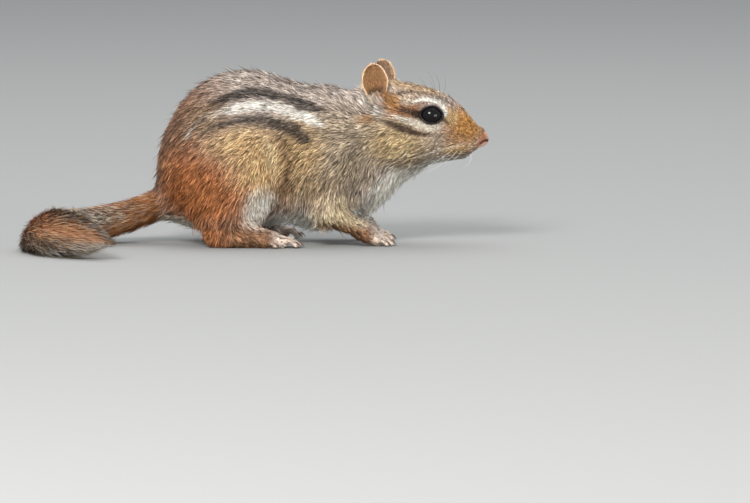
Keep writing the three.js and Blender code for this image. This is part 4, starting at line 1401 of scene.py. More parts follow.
@dataclass
class Tail:
    """The tail's skin and its long hair.

    Attributes:
        line: The middle line.
        start: Where along it the first hairs are rooted, in shares of its length.
        end: Where the last ones are, and the skin's point.
        hair: Greatest hair length in millimetres.
        skin: The skin's reach, in shares of the outline, at shares of the length.
        skin_floor: The lowest that the skin comes.
        rings: Rings of the skin.
        sides: Corners of each ring.
        wisp_share: Share of tufts that pass the outline.
        width: A tuft's width at its root, in a wisp and elsewhere.
    """

    line: TailLine
    start: float = -0.03
    end: float = 0.9
    hair: float = 13.0
    skin: tuple[Sequence[float], Sequence[float]] = ((0, 0.1, 0.25, 0.8, 0.9), (0.75, 0.6, 0.34, 0.238, 0.03))
    skin_floor: float = 0.6
    rings: int = 120
    sides: int = 24
    wisp_share: float = 0.05
    width: tuple[float, float] = (0.16, 0.25)

    def __post_init__(self) -> None:
        """Starts the draws."""
        self.rng = np.random.default_rng(SEED + 7)

    @staticmethod
    def outline(share: Array) -> Array:
        """How full the brush is: 1 along it, and past 0.78 the square root of 1 - t^2 down to its point."""
        t = np.clip((share - 0.78) / 0.25, 0, 0.98)
        return np.sqrt(1 - t * t)

    def core(self, material: bpy.types.Material) -> bpy.types.Object:
        """The skin under the hair, a tube that ends in a point.

        Args:
            material: Its finish.

        Returns:
            The tube.
        """
        share = np.linspace(0.0, self.end, self.rings)
        reach = np.interp(share, *self.skin)
        angle = np.linspace(0, 2 * np.pi, self.sides, endpoint=False)
        share, reach = np.repeat(share, self.sides), np.repeat(reach, self.sides)
        points = self.line.point(share, np.tile(angle, self.rings), reach)
        points[:, 2] = np.maximum(points[:, 2], self.skin_floor)
        quads = ring_quads(self.rings, self.sides)[:, [0, 3, 2, 1]]
        tint = np.broadcast_to(Tones.RUFOUS * 0.35, points.shape)
        return make_mesh("tail_skin", points, quads, material, tint)

    def grow(self, count: int) -> Tufts:
        """Long tufts that stand out from the skin, lean back along the tail and end at its outline.

        At a share t of its length a tuft is t of its reach further along, and sin(90 t)^1.1 of the way out.

        Args:
            count: How many.

        Returns:
            The tufts.
        """
        rng, line = self.rng, self.line
        start = self.start + (self.end - self.start) * rng.random(count) ** 0.9
        wisp = rng.random(count) < self.wisp_share
        angle = rng.uniform(0, 2 * np.pi, count)
        own = rng.normal(0, 1, (count, 6))
        clump = np.floor(start * line.length / 2.2) * 37 + np.floor(angle / 0.3 + start * 9)
        shared = np.random.default_rng(SEED + 8).normal(0, 1, (4093, 4))[clump.astype(np.int64) % 4093]
        hair = self.hair * np.interp(start, [-0.03, 0.05, 0.2, 0.5, 0.9], [0.42, 0.5, 0.8, 0.95, 1.08])
        reach = hair * np.clip(1 + 0.14 * own[:, 0] + 0.06 * shared[:, 0], 0.5, 1.3) / line.length
        reach = np.minimum(reach, 1.05 - start)
        outer = np.clip(0.9 + 0.17 * own[:, 1] + 0.08 * shared[:, 1], 0.45, 1.14)
        outer = outer * self.outline(start + reach)
        outer = np.where(wisp, np.minimum(outer * 1.22, 1.3), outer)
        drift = 0.12 * own[:, 2] + 0.10 * shared[:, 2]
        root = np.interp(start, *self.skin) * 0.9
        stations = []
        for t in Tufts.PLACES:
            level = root + (outer - root) * math.sin(t * math.pi / 2) ** 1.1
            stations.append(line.point(start + reach * t, angle + drift * t, level))
        path = np.stack(stations, 1)
        path[..., 2] = np.maximum(path[..., 2], 0.12 + 0.25 * rng.random((count, 1)))
        along = unit(path[:, 3] - path[:, 0])
        outward = unit(path[:, 2] - line.read(line.middle, np.clip(start + reach * 0.5, 0, 1)))
        across = unit(np.cross(outward, along))
        roll = 0.6 * own[:, 3:4]
        side = across * np.cos(roll) + np.cross(along, across) * np.sin(roll)
        width = np.where(wisp, *self.width) * np.exp(0.2 * own[:, 4])
        tones = self.tones(start, angle, own, shared)
        shading = unit(outward + 0.3 * along + 0.18 * own[:, :3])
        return Tufts(path, side, width, tones, shading, np.stack([start, angle], -1))

    def tones(self, start: Array, angle: Array, own: Array, shared: Array) -> Array:
        """Colours along each tuft: rufous within, darkened at the root by painted shade, then black, then a
        frosted tip, most at the two sides.

        Args:
            start: Where along the tail each is rooted.
            angle: Radians round the tail.
            own: Each tuft's own draws.
            shared: The draws of its clump.

        Returns:
            Linear colours at four places along each.
        """
        n = len(start)
        lateral = np.abs(np.cos(angle))[:, None] ** 1.6
        below = ramp(-np.sin(angle), -0.1, 0.6)[:, None] * (1 - lateral)
        near_body = (1 - ramp(start, 0.0, 0.26))[:, None]
        draw = self.rng.random((n, 1))
        rufous = srgb(176, 112, 66) * (1 - near_body) + Tones.RUFOUS * near_body
        black = Tones.BLACK * 0.5
        frost = srgb(238, 230, 216)
        buff = srgb(196, 158, 116)
        # Painted shade: the root is darkened for the shade deep in the brush.
        root = rufous * 0.42
        low = rufous * (0.9 - 0.5 * lateral * (1 - near_body))
        dark = np.clip((0.55 + 0.6 * lateral) * (1 - 0.8 * below) * (1 - 0.6 * near_body), 0, 1)
        dark = dark * (draw < 0.5 + 0.5 * lateral)
        mid = rufous * (1 - dark) + black * dark
        pale = np.clip(0.3 + 0.8 * lateral - 0.4 * below, 0, 1) * (1 - 0.7 * near_body)
        pale = pale * (self.rng.random((n, 1)) < 0.35 + 0.5 * lateral)
        end = mid * (1 - pale) + frost * pale
        gold = (draw > 0.72) * 0.8
        mid = mid * (1 - gold) + buff * gold
        gain = np.exp(0.18 * own[:, 5:6] + 0.14 * shared[:, 3:4])
        return np.stack([root, low, mid, end], 1) * gain[:, None]


def ring_quads(rings: int, sides: int, looped: bool = False) -> Array:
    """Quads between rings of vertices, each ring closed on itself.

    Args:
        rings: How many rings.
        sides: Vertices of each.
        looped: Whether the last ring joins the first.

    Returns:
        Rows of vertex numbers.
    """
    i, j = np.meshgrid(np.arange(rings if looped else rings - 1), np.arange(sides), indexing="ij")
    here, after, beside = i * sides, (i + 1) % rings * sides, (j + 1) % sides
    return np.stack([here + j, after + j, after + beside, here + beside], -1).reshape(-1, 4)


def tube(line: Array, radius: Array, sides: int = 8, flat: float = 1.0) -> tuple[Array, Array]:
    """A tapered tube along points, with its ends closed by near-zero rings.

    Args:
        line: Points along it.
        radius: Radius at each.
        sides: Corners of each ring.
        flat: Height against width.

    Returns:
        Vertices and quads.
    """
    line = np.asarray(line, float)
    forwards = unit(np.gradient(line, axis=0))
    side = unit(np.cross(forwards, [0.0, 0.0, 1.0]) + 1e-6)
    up = np.cross(side, forwards)
    angle = np.linspace(0, 2 * np.pi, sides, endpoint=False)
    r = np.concatenate([[1e-3], np.asarray(radius, float), [1e-3]])
    index = np.concatenate([[0], np.arange(len(line)), [len(line) - 1]])
    ring = side[index, None] * np.cos(angle)[:, None] + up[index, None] * np.sin(angle)[:, None] * flat
    points = (line[index, None] + ring * r[:, None, None]).reshape(-1, 3)
    return points, ring_quads(len(r), sides)


def joined(parts: Sequence[tuple[Array, Array]]) -> tuple[Array, Array]:
    """Several meshes with faces of one length as one."""
    sizes = np.cumsum([0, *(len(p) for p, _ in parts[:-1])])
    return np.concatenate([p for p, _ in parts]), np.concatenate([f + s for (_, f), s in zip(parts, sizes)])


def flipped(points: Array, faces: Array) -> tuple[Array, Array]:
    """A mesh mirrored to the other side, its faces still pointing out."""
    return points * np.array([1, -1, 1]), faces[:, ::-1]


def both_sides(points: Array, faces: Array) -> list[tuple[str, Array, Array]]:
    """A left mesh and its mirror image, each after the name of its side."""
    return [("left", points, faces), ("right", *flipped(points, faces))]


def curve_through(nodes: Sequence[Vec], count: int) -> Array:
    """A smooth line through three points: a quadratic whose middle passes the second.

    Args:
        nodes: The three points.
        count: Points of the line.

    Returns:
        The line.
    """
    a, b, c = (np.array(n, float) for n in nodes)
    t = np.linspace(0, 1, count)[:, None]
    control = 2 * b - (a + c) / 2
    return (1 - t) ** 2 * a + 2 * t * (1 - t) * control + t**2 * c


@dataclass(frozen=True)
class Foot:
    """One pair of feet.

    Attributes:
        name: The pair's name, as its nodes have it.
        toes: Root, knuckle and tip of each toe of the left foot.
        toe_radius: The toes' radius at the knuckle.
        claw: Length of a claw.
        low: Lowest corner of the box round the left foot.
        high: Highest corner of it.
    """

    name: str
    toes: tuple[tuple[Vec, Vec, Vec], ...]
    toe_radius: float
    claw: float
    low: Vec
    high: Vec


@dataclass
class Feet:
    """Toes, claws and the fine skin of the four feet.

    Attributes:
        markings: The body's pattern.
        hind: The hind feet.
        fore: The forepaws.
        cell: The skin's grid step.
        web: Width of the fillet between the foot and its toes.
        claw_radius: A claw's radius at its root.
        claw_flat: A claw's height against its width.
    """

    markings: Markings
    hind: Foot = Foot("hindfoot", HIND_TOES, 0.95, 2.6, (-16, 11, -0.5), (2, 25.5, 6.5))
    fore: Foot = Foot("forepaw", FORE_TOES, 0.82, 2.2, (22, 5.5, -0.5), (35, 17, 8))
    cell: float = 0.3
    web: float = 1.2
    claw_radius: float = 0.5
    claw_flat: float = 1.25

    @staticmethod
    def toe_field(toes: Sequence[Sequence[Vec]], size: float) -> Field:
        """Distance outside a foot's toes: slim tapers with a pad under each tip and a low knuckle.

        Args:
            toes: Root, knuckle and tip of each.
            size: Radius at the knuckle.

        Returns:
            The field.
        """
        masses: list[Taper] = []
        for root, knuckle, tip in toes:
            masses.append(Taper(root, knuckle, (size * 1.15, size), 1.0))
            masses.append(Taper(knuckle, tip, (size * 0.92, size * 0.78), 0.5))
            masses.append(Taper(tip, (tip[0] + 0.2, tip[1], tip[2] - 0.2), (size * 0.9, size * 0.8), 0.4))
        return lambda p: union(masses, p)

    def skin(self, foot: Foot, material: Any) -> list[bpy.types.Object]:
        """The skin of both feet of a pair, from a field that joins the leg and its toes.

        Args:
            foot: The pair.
            material: Its finish.

        Returns:
            The left foot's skin and the right one's.
        """
        toe = self.toe_field(foot.toes, foot.toe_radius)

        def field(p: Array) -> Array:
            """Distance outside leg and toes, cut level just over the floor."""
            return np.maximum(blend(Anatomy.skin(p) - 0.04, toe(p), self.web), 0.05 - p[..., 2])

        points, quads = surface_net(field, foot.low, foot.high, self.cell)
        made = []
        for side, p, f in both_sides(points, quads):
            made.append(make_mesh(f"{foot.name}_skin_{side}", p, f, material, self.markings.color(p)))
        return made

    def claws(self, material: bpy.types.Material) -> bpy.types.Object:
        """All claws as curved cones, a little flattened.

        Args:
            material: Their finish.

        Returns:
            One object of them all.
        """
        parts = []
        steps = 9
        radius = np.linspace(self.claw_radius, 0.06, steps) * np.linspace(1, 0.8, steps)
        for foot in (self.hind, self.fore):
            for _, knuckle, tip in foot.toes:
                way = unit(np.subtract(tip, knuckle) * (1, 1, 0))
                root = np.array(tip) - 0.5 * way + (0, 0, 0.35)
                bend = root + way * foot.claw * 0.55 + (0, 0, 0.15)
                end = np.append((root + way * foot.claw)[:2], 0.3)
                mesh = tube(curve_through((root, bend, end), steps), radius, 8, self.claw_flat)
                parts += [mesh, flipped(*mesh)]
        return make_mesh("claws", *joined(parts), material)


@dataclass
class Ear:
    """The thin cups of the ears, and their hair.

    Attributes:
        root: Middle of the left ear's foot.
        up: The way that it stands.
        facing: The way that its hollow looks.
        sunk: How far its foot goes into the head.
        height: From root to top.
        half_width: Half its greatest width.
        cup: Depth of its hollow.
        thickness: Thickness of its wall.
        rows: Vertices up it.
        cols: Vertices across it.
        foot_share: Share of the tufts in its foot, where they are long and woolly.
        foot_level: How high those are rooted, in shares of the height.
        hair: A tuft's width.
    """

    root: Vec = (29.2, 11.0, 52.7)
    up: Vec = (-0.14, 0.16, 0.98)
    facing: Vec = (0.42, 0.9, -0.08)
    sunk: float = 2.0
    height: float = 12.4
    half_width: float = 4.8
    cup: float = 3.2
    thickness: float = 0.9
    rows: int = 46
    cols: int = 34
    foot_share: float = 0.2
    foot_level: float = 0.16
    hair: float = 0.13

    def surface(self, level: Array, a: Array, inner: bool) -> Array:
        """Points of the cup's back or its inner face.

        At a share a across, the back is a half widths to the side and sinks by the cup's depth times 1 - a^2.
        The half width grows evenly to the middle, with a half ellipse above. The inner face lies a wall ahead.

        Args:
            level: Shares of the height, from the root to the top.
            a: Shares across, from -1 to 1.
            inner: The inner face, not the back.

        Returns:
            Points in the head's straight pose.
        """
        facing, up = unit(np.array(self.facing)), np.array(self.up)
        up = unit(up - facing * (up @ facing))
        across = np.cross(up, facing)
        height = -self.sunk + (self.height + self.sunk) * level
        top = np.sqrt(np.clip(1 - ((level - 0.5) / 0.505) ** 2, 0, 1))
        half = self.half_width * np.where(level < 0.5, 0.5 + 1.0 * level, top)
        cup = self.cup * (1.15 - 0.75 * level)
        lift = -cup * (1 - a * a)
        if inner:
            filled = self.thickness * (1 + 2.2 * (1 - level) ** 4)
            fold = 0.5 * np.exp(-(((a - 0.45 - 0.2 * level) / 0.16) ** 2)) * ramp(0.75 - level, 0, 0.3)
            lift = lift + filled * (0.45 + 0.2 * (1 - a * a)) + fold
        sideways = half * a * (0.97 if inner else 1.0)
        place = np.array(self.root) + up * height[:, None] + across * sideways[:, None]
        return place + facing * lift[:, None]

    def mesh(self) -> tuple[Array, Array, Array]:
        """The left ear as a closed shell: the back, the inner face and the edge between them.

        Returns:
            Vertices in the head's straight pose, quads and colours.
        """
        rows, cols = self.rows, self.cols
        level, a = np.meshgrid(np.linspace(0, 1, rows), np.linspace(-1, 1, cols), indexing="ij")
        level, a = level.ravel(), a.ravel()
        outer, inner = self.surface(level, a, False), self.surface(level, a, True)
        i, j = np.meshgrid(np.arange(rows - 1), np.arange(cols - 1), indexing="ij")
        n = (i * cols + j).ravel()
        back = np.stack([n, n + cols, n + cols + 1, n + 1], -1)
        size = rows * cols
        front = back[:, ::-1] + size
        up, across = np.arange(rows) * cols, np.arange(cols)
        rim = []
        for edge in (up, up[::-1] + cols - 1, across + (rows - 1) * cols, across[::-1]):
            rim.append(np.stack([edge[:-1], edge[:-1] + size, edge[1:] + size, edge[1:]], -1))
        quads = np.concatenate([back, front, *rim])
        pale = np.maximum(np.abs(a) ** 9, ramp(level, 0.93, 1.0))[:, None]
        # Painted shade darkens the inner face towards the cup's foot.
        inside = srgb(140, 100, 68) * self.depth_shade(level, a) * (1 - pale) + srgb(206, 168, 128) * pale
        behind = srgb(118, 92, 70) * (1 - pale) + srgb(190, 158, 124) * pale
        return np.concatenate([outer, inner]), quads, np.concatenate([behind, inside])

    @staticmethod
    def depth_shade(level: Array, a: Array) -> Array:
        """Painted shade: how much darker the cup grows towards its foot, down to a fifth in the fold."""
        return (1 - 0.8 * (1 - ramp(level, 0.22, 0.48)) * (1 - a**4))[:, None]

    def build(self, material: bpy.types.Material) -> list[bpy.types.Object]:
        """Both ears.

        Args:
            material: Their finish.

        Returns:
            The left ear and the right one.
        """
        points, quads, tint = self.mesh()
        made = []
        for side, p, f in both_sides(points, quads):
            made.append(make_mesh(f"ear_cup_{side}", from_head(p), f, material, tint))
        return made

    def fur(self, rng: np.random.Generator, count: int) -> Tufts:
        """Short hair on both faces and the pale rim of each ear, and long wool in its foot.

        Args:
            rng: The draws.
            count: How many tufts.

        Returns:
            The tufts of both ears.
        """
        foot = rng.random(count) < self.foot_share
        level = np.where(foot, self.foot_level, 1.0) * rng.random(count) ** 0.85
        a = rng.uniform(-1, 1, count)
        rim = rng.random(count) < 0.4
        a = np.where(rim & (rng.random(count) < 0.7), np.sign(a) * (1 - 0.07 * rng.random(count)), a)
        inner = rng.random(count) < 0.5
        side = np.where(rng.random(count) < 0.5, 1.0, -1.0)
        further = np.minimum(level + 0.02, 1.0)
        base = np.where(inner[:, None], self.surface(level, a, True), self.surface(level, a, False))
        ahead = np.where(inner[:, None], self.surface(further, a, True), self.surface(further, a, False))
        facing, root_up = unit(np.array(self.facing)), unit(np.array(self.up))
        up = unit(ahead - base + root_up * 0.05)
        out = np.where(inner[:, None], facing, -facing)
        edge = np.abs(a) ** 4
        outward = np.cross(root_up, facing) * (0.25 * a * edge)[:, None]
        flow = unit(up + 0.16 * rng.normal(0, 1, (count, 3)) + outward)
        length = (0.7 + 0.5 * rng.random(count)) * (1 - 0.45 * ramp(level, 0.8, 1.0))
        length *= np.where(foot, 2.6, 1.0)
        stations = []
        for t in Tufts.PLACES:
            rise = 0.06 + 0.16 * t * length * (1 - edge)
            cover = facing * (foot * (0.5 + 0.34 * t * length))[:, None]
            stations.append(base + flow * (length * t)[:, None] + out * rise[:, None] + cover)
        line = np.stack(stations, 1)
        line[..., 1] *= side[:, None]
        flat = np.cross(flow, out)
        flat[:, 1] *= side
        normal = unit(out + 0.2 * flow)
        normal[:, 1] *= side
        pale = np.maximum(ramp(np.abs(a), 0.91, 0.98), ramp(level, 0.93, 0.99))[:, None]
        # Painted shade: the lining's hair darkens with the cup towards its foot.
        lining = srgb(144, 104, 66) * self.depth_shade(level, a)
        tone = np.where(inner[:, None], lining, srgb(116, 88, 68)) * (1 - pale) + srgb(226, 190, 156) * pale
        grey, tawny = srgb(168, 152, 134), srgb(140, 98, 58)
        wool = grey + (tawny - grey) * ramp(-a, -0.6, 0.5)[:, None]
        tone = np.where(foot[:, None], wool, tone) * np.exp(0.34 * rng.normal(0, 1, (count, 1)))
        # Painted shade: each tuft darkens towards its root.
        tones = np.stack([tone * 0.7, tone * 0.9, tone, tone * 1.1], 1)
        uv = np.stack([level + inner, a + 3 * (side > 0)], -1)
        width = np.full(count, self.hair)
        return Tufts(from_head(line), turned_way(unit(flat)), width, tones, turned_way(normal), uv)


@dataclass
class Face:
    """Eyes, lids, nose pad and whiskers.

    Attributes:
        ball_rows: Rings of an eyeball.
        ball_cols: Corners of each ring.
        lid_steps: Cross-sections round a lid's rim.
        lid_sides: Corners of each.
        lid_lift: How far the rim's middle stands off the eyeball.
        lid_swell: Half the rim's thickness.
        lid_growth: The rim's middle against the opening, and half its width in shares of it.
        nose_cell: The nose's grid step.
        nostril: How wide a nostril is cut, from its inner end to its outer one.
        cleft: How wide the groove under the nose is cut.
        whisker: A whisker's radius at root and tip.
        brow: A brow hair's radius at root and tip.
    """

    ball_rows: int = 40
    ball_cols: int = 64
    lid_steps: int = 72
    lid_sides: int = 10
    lid_lift: float = 0.34
    lid_swell: float = 0.36
    lid_growth: tuple[float, float] = (1.04, 0.085)
    nose_cell: float = 0.16
    nostril: Vec = (0.24, 0.4, 0.2)
    cleft: float = 0.24
    whisker: tuple[float, float] = (0.06, 0.014)
    brow: tuple[float, float] = (0.045, 0.012)

    def eyes(self, material: Any) -> list[bpy.types.Object]:
        """Both eyeballs, each as large as its node: (sin u cos v, sin u sin v, cos u) times the radius.

        Args:
            material: Their finish.

        Returns:
            The left eyeball and the right one.
        """
        polar = np.linspace(1e-3, np.pi - 1e-3, self.ball_rows)
        turn = np.linspace(0, 2 * np.pi, self.ball_cols, endpoint=False)
        u, v = np.meshgrid(polar, turn, indexing="ij")
        ball = np.stack([np.sin(u) * np.cos(v), np.sin(u) * np.sin(v), np.cos(u)], -1)
        ball = ball.reshape(-1, 3) * EYE_RADIUS
        quads = ring_quads(self.ball_rows, self.ball_cols)
        made = []
        for side, sign in SIDES.items():
            centre = np.array(EYE_CENTRE) * (1, sign, 1)
            made.append(make_mesh(f"eyeball_{side}", from_head(ball + centre), quads, material))
        return made

    def lids(self, material: Any) -> list[bpy.types.Object]:
        """The dark bare rims of the lids: a round band over each eyeball's surface, along the opening's edge.

        Args:
            material: Their finish.

        Returns:
            The left rim and the right one.
        """
        angle = np.linspace(0, 2 * np.pi, self.lid_steps, endpoint=False)
        profile = np.linspace(0, 2 * np.pi, self.lid_sides, endpoint=False)
        rings = []
        for turn in profile:
            grow = self.lid_growth[0] + self.lid_growth[1] * math.cos(turn)
            distance = EYE_RADIUS + self.lid_lift + self.lid_swell * math.sin(turn)
            rings.append(Anatomy.lid_edge(angle, distance, grow))
        points = np.stack(rings, 1).reshape(-1, 3)
        quads = ring_quads(self.lid_steps, self.lid_sides, looped=True)[:, [0, 3, 2, 1]]
        made = []
        for side, p, f in both_sides(points, quads):
            made.append(make_mesh(f"lids_{side}", from_head(p), f, material))
        return made

    def nose(self, material: Any) -> bpy.types.Object:
        """The bare pad and the skin round it, cut by two comma-shaped nostrils and a groove down the middle.

        Args:
            material: Its finish.

        Returns:
            The nose.
        """
        x, _, z = NOSE_CENTRE
        comma = (
            (x + 2.7, 0.9, z - 0.3), (x + 1.9, 1.7, z - 0.1), (x + 1.1, 2.5, z - 0.4), (x + 0.5, 2.9, z - 1.3),
        )
        groove = ((x + 2.9, 0, z + 0.4), (x + 2.2, 0, z - 2.4), (x - 1, 0, z - 3.4))

        def field(p: Array) -> Array:
            """Distance outside the pad and its skin, less the nostrils and the groove.

            Args:
                p: Points in the head's straight pose.

            Returns:
                Distances, negative inside.
            """
            q = mirrored(p)
            pad = blend(Egg(NOSE_CENTRE, NOSE_RADII).distance(q), Anatomy.skin(from_head(p)) - 0.07, 0.9)
            nostril, along = to_line(q, comma)
            hole = nostril - np.interp(along, [0, 0.4, 1], self.nostril)
            cleft = to_line(q, groove)[0] - self.cleft
            return np.maximum(np.maximum(np.maximum(pad, -hole), -cleft), BARE_NOSE.distance(q) - 0.15)

        points, quads = surface_net(field, (61.4, -4.6, 32.5), (68.2, 4.6, 42.5), self.nose_cell)
        q = mirrored(points)
        # Darker in and round the nostrils: the nostrils' own red-brown skin, with painted shade in their
        # hollows.
        nostril_skin_and_shade = 1 - ramp(to_line(q, comma)[0], 0.35, 0.8)[:, None]
        edge = ramp(BARE_NOSE.distance(q), -0.9, 0.0)[:, None]
        tint = Tones.PINK * (1 - edge) + srgb(176, 118, 80) * edge
        tint = tint * (1 - nostril_skin_and_shade) + srgb(112, 54, 40) * nostril_skin_and_shade
        return make_mesh("nose_pad", from_head(points), quads, material, tint)

    def whiskers(self, dark: Any, pale: Any) -> list[bpy.types.Object]:
        """Rows of fine bristles that sweep out and back from the muzzle, and three hairs over each eye.

        Args:
            dark: The finish of the upper rows and of the hairs over the eyes.
            pale: The finish of the lower rows.

        Returns:
            One object of each finish.
        """
        rng = np.random.default_rng(SEED + 5)
        parts: dict[str, list] = {"dark": [], "pale": []}
        for side in SIDES.values():
            for row in range(4):
                for column in range(4):
                    root = np.array([61.0 - 1.5 * column - 0.3 * row, 2.6 + 0.5 * column, 38.9 - 1.1 * row])
                    root = settle(Anatomy.head, root[None], 4)[0]
                    length = (9 + 4.2 * column) * rng.uniform(0.85, 1.15)
                    way = np.array([0.1 - 0.25 * column, 0.8, 0.45 - 0.28 * row])
                    way = unit(way + rng.normal(0, 0.08, 3))
                    bend = root + way * length * 0.5
                    end = root + way * length * 0.9 + np.array([-0.30, -0.06, -0.10]) * length * 0.8
                    line = curve_through((root - way * 0.4, bend, end), 12) * (1, side, 1)
                    parts["dark" if row < 2 else "pale"].append(tube(line, np.linspace(*self.whisker, 12), 5))
            for k in range(3):
                root = settle(Anatomy.head, np.array([[50.5 - 1.6 * k, 5.6, 53.0]]), 4)[0]
                way = unit(np.array([0.15 - 0.2 * k, 0.4, 0.85]) + rng.normal(0, 0.06, 3))
                end = root + way * 8.5 + (-1.6, 0, -0.3)
                line = curve_through((root, root + way * 4.4, end), 10) * (1, side, 1)
                parts["dark"].append(tube(line, np.linspace(*self.brow, 10), 5))
        made = []
        for name, material in (("dark", dark), ("pale", pale)):
            points, quads = joined(parts[name])
            made.append(make_mesh(f"whiskers_{name}", from_head(points), quads, material))
        return made


@dataclass(frozen=True)
class Softbox:
    """A rectangular light.

    Attributes:
        name: The light's name.
        place: Its middle in metres.
        target: The point it faces.
        size: Width and height in metres.
        power: Watts.
        color: Linear colour.
    """

    name: str
    place: Vec
    target: Vec
    size: tuple[float, float]
    power: float
    color: Vec = (1.0, 1.0, 1.0)

    def build(self) -> None:
        """Adds it to the scene."""
        data = bpy.data.lights.new(self.name, "AREA")
        data.shape, data.size, data.size_y = "RECTANGLE", *self.size
        data.energy, data.color = self.power, self.color
        light = bpy.data.objects.new(self.name, data)
        bpy.context.scene.collection.objects.link(light)
        light.location = self.place
        light.rotation_euler = (Vector(self.target) - Vector(self.place)).to_track_quat("-Z", "Y").to_euler()


@dataclass(frozen=True)
class Studio:
    """Camera, lights and floor.

    Attributes:
        pixels_per_mm: The picture's scale.
        size: The picture's width and height in pixels.
        origin: The pixel at which the part's own origin is.
        elevation: Degrees that the camera looks down.
        lens: Focal length in millimetres.
        sensor: Width of the sensor in millimetres.
        half_floor: Half the floor's width in metres.
        middle: The point that the lights face, in metres.
        sky: The sky's linear colour.
        sky_strength: Its strength.
    """

    pixels_per_mm: float = 2.8
    size: tuple[int, int] = (750, 503)
    origin: tuple[float, float] = (300.0, 243.0)
    elevation: float = 5.5
    lens: float = 300.0
    sensor: float = 36.0
    half_floor: float = 9.0
    middle: Vec = (0.01, 0.0, 0.035)
    sky: tuple[float, float, float, float] = (0.92, 0.96, 1.0, 1)
    sky_strength: float = 0.78

    def camera(self) -> None:
        """A long lens with the photograph's framing: the part's own origin falls on the same pixel."""
        distance = self.size[0] / self.pixels_per_mm / MM_PER_METRE * self.lens / self.sensor
        right = (self.size[0] / 2 - self.origin[0]) / self.pixels_per_mm
        up = (self.origin[1] - self.size[1] / 2) / self.pixels_per_mm
        tilt = math.radians(self.elevation)
        target = np.array([right, up * math.sin(tilt), up * math.cos(tilt)]) + OFFSET
        place = target / MM_PER_METRE + distance * np.array([0, -math.cos(tilt), math.sin(tilt)])
        data = bpy.data.cameras.new("camera")
        data.lens, data.sensor_width, data.clip_end = self.lens, self.sensor, 60.0
        camera = bpy.data.objects.new("camera", data)
        camera.location = place
        camera.rotation_euler = (math.pi / 2 - tilt, 0, 0)
        bpy.context.scene.collection.objects.link(camera)
        bpy.context.scene.camera = camera

    def floor(self) -> None:
        """A wide pale plane at the ground's level."""
        mesh = bpy.data.meshes.new("floor")
        half = self.half_floor
        corners = [(-half, -half, 0), (half, -half, 0), (half, half, 0), (-half, half, 0)]
        mesh.from_pydata(corners, [], [(0, 1, 2, 3)])
        mesh.materials.append(Finish("floor", color=(0.31, 0.31, 0.303), roughness=0.9, specular=0.1).build())
        floor = bpy.data.objects.new("floor", mesh)
        bpy.context.scene.collection.objects.link(floor)

    def lights(self) -> None:
        """A key from above on the left, a broad light overhead, a low fill on the right and a soft sky."""
        Softbox("key", (-0.35, -1.15, 0.85), self.middle, (0.5, 0.42), 21.5, (1.0, 0.985, 0.955)).build()
        Softbox("top", (0.1, 0.45, 1.3), self.middle, (1.6, 1.2), 12.0, (0.98, 0.99, 1.0)).build()
        Softbox("fill", (0.95, -0.85, 0.12), self.middle, (0.7, 0.5), 9.5, (1.0, 0.99, 0.97)).build()
        world = bpy.data.worlds.new("world")
        world.use_nodes = True
        background = world.node_tree.nodes["Background"]
        background.inputs["Color"].default_value = self.sky
        background.inputs["Strength"].default_value = self.sky_strength
        bpy.context.scene.world = world
        bpy.context.scene.view_settings.view_transform = "Standard"

    def build(self) -> None:
        """Sets the whole stage."""
        self.camera()
        self.floor()
        self.lights()


FLESH_NODES = (
    "torso", "head", "thigh_left", "thigh_right", "foreleg_left", "foreleg_right",
    "hindfoot_left", "hindfoot_right", "forepaw_left", "forepaw_right",
)
TAIL_NODES = ("tail_base", "tail_middle", "tail_bend", "tail_end")


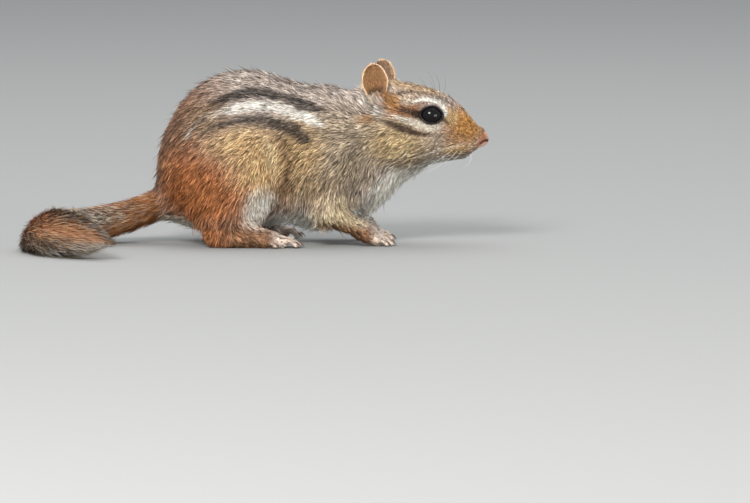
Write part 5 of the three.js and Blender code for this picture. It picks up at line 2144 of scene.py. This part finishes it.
@dataclass
class Chipmunk:
    """The dressed animal.

    Attributes:
        body_cell: Grid step of the body's skin.
        face_cell: Grid step of the face's skin.
        piece_triangles: The most triangles that one object of tufts has.
        tail_tufts: How many tufts the tail has.
        ear_tufts: How many the ears have.
    """

    body_cell: float = 0.8
    face_cell: float = 0.34
    piece_triangles: int = 190_000
    tail_tufts: int = 42_000
    ear_tufts: int = 9000

    def __post_init__(self) -> None:
        """Makes the pattern and the finishes."""
        self.markings = Markings()
        self.fur = Finish("fur", tinted=True, roughness=0.62, specular=0.22).build()
        self.skin = Finish("skin", roughness=0.75, tinted=True, bump=2e-4, bump_scale=1600, specular=0.2).build()
        self.foot = Finish("foot", roughness=0.6, tinted=True, mottle=0.12, bump=1.2e-4, bump_scale=3200).build()
        ear = Finish("ear", roughness=0.6, tinted=True, mottle=0.25, bump=6e-5, bump_scale=3000, glow=0.12)
        self.ear = ear.build()
        self.pad = Finish("nose", roughness=0.38, tinted=True, bump=5e-5, bump_scale=5200, specular=0.5).build()
        self.eye = Finish("eye", color=(0.004, 0.003, 0.003), roughness=0.03, specular=0.22).build()
        self.lid = Finish("lid", color=(0.010, 0.007, 0.006), roughness=0.35, specular=0.3).build()
        self.horn = Finish("horn", color=tuple(srgb(92, 74, 60)), roughness=0.35, specular=0.5).build()
        self.whisker = Finish("whisker", color=tuple(srgb(60, 52, 46)), roughness=0.45).build()
        self.bristle = Finish("bristle", color=tuple(srgb(226, 218, 204)), roughness=0.45).build()

    @staticmethod
    def own(pieces: Sequence[bpy.types.Object], slot: Slot, *nodes: str) -> None:
        """Sets pieces on the body and reports them.

        Args:
            pieces: The objects.
            slot: Their material's slot; not used.
            nodes: The nodes that they stand for.
        """
        for piece in pieces:
            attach(piece, "root")
            if nodes:
                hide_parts(*nodes)
            LOG.info("%s: %d faces", piece.name, len(piece.data.polygons))

    def body_skin(self) -> tuple[Array, Array]:
        """The skin of trunk and legs, and a finer one of the face.

        Returns:
            Vertices and quads of both.
        """
        body = surface_net(Anatomy.body, (-66, -30, -1), (46, 30, 68), self.body_cell)
        face = surface_net(Anatomy.face, (36, -20, 20), (70, 18, 62), self.face_cell)
        kinds = (("skin_body", body, Slot.BODY, FLESH_NODES), ("skin_face", face, Slot.HEAD, ("head",)))
        for name, (points, quads), slot, nodes in kinds:
            tint = self.markings.color(points) * 0.6
            self.own([make_mesh(name, points, quads, self.skin, tint)], slot, *nodes)
        return joined([body, face])

    def coat(self, points: Array, quads: Array) -> None:
        """The short coat, in pieces by place.

        Args:
            points: Vertices of the skin.
            quads: Its faces.
        """
        tufts = Coat(points, quads, self.markings).grow()
        LOG.info("coat: %d tufts", len(tufts.width))
        x, y = tufts.line[:, 0, 0], tufts.line[:, 0, 1]
        bands = (("rump", -99, -30), ("loin", -30, -4), ("shoulder", -4, 24), ("head", 24, 99))
        for name, low, high in bands:
            slot = Slot.HEAD if name == "head" else Slot.BODY
            for side, sign in SIDES.items():
                rows = np.nonzero((x >= low) & (x < high) & (y * sign > 0))[0]
                self.pieces(f"coat_{name}_{side}", tufts.chosen(rows), slot)

    def pieces(self, name: str, tufts: Tufts, slot: Slot) -> None:
        """Tufts as objects under the limit of triangles, divided along the body.

        Args:
            name: What their names start with.
            tufts: The tufts.
            slot: Their material's slot.
        """
        limit = self.piece_triangles // len(Tufts.FACES)
        order = np.argsort(tufts.uv[:, 0])
        parts = max(1, math.ceil(len(order) / limit))
        for i, rows in enumerate(np.array_split(order, parts)):
            piece = tufts.chosen(rows).build(f"{name}_{i + 1}", self.fur)
            self.own([piece], slot)

    def tail(self) -> None:
        """The tail's skin and hair."""
        tail = Tail(TailLine())
        self.own([tail.core(self.skin)], Slot.TAIL, *TAIL_NODES)
        self.pieces("coat_tail", tail.grow(self.tail_tufts), Slot.TAIL)

    def head_parts(self) -> None:
        """Ears, eyes, lids, nose and whiskers."""
        face = Face()
        for side, eye, lid in zip(SIDES, face.eyes(self.eye), face.lids(self.lid)):
            self.own([eye], Slot.EYE, f"eye_{side}")
            self.own([lid], Slot.HEAD)
        self.own([face.nose(self.pad)], Slot.NOSE, "nose")
        self.own(face.whiskers(self.whisker, self.bristle), Slot.HEAD)
        ear = Ear()
        for side, cup in zip(SIDES, ear.build(self.ear)):
            self.own([cup], Slot.EAR, f"ear_{side}")
        fur = ear.fur(np.random.default_rng(SEED + 6), self.ear_tufts)
        self.pieces("coat_ears", fur, Slot.EAR)

    def feet(self) -> None:
        """Toes, soles and claws."""
        feet = Feet(self.markings)
        for foot in (feet.hind, feet.fore):
            for side, skin in zip(SIDES, feet.skin(foot, self.foot)):
                self.own([skin], Slot.FOOT, f"{foot.name}_{side}")
        self.own([feet.claws(self.horn)], Slot.FOOT)

    def build(self) -> None:
        """Makes every piece."""
        points, quads = self.body_skin()
        self.coat(points, quads)
        self.tail()
        self.head_parts()
        self.feet()


def main() -> None:
    """Builds the animal on its stage."""
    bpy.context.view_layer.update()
    Studio().build()
    Chipmunk().build()


if __name__ == "__main__":
    main()
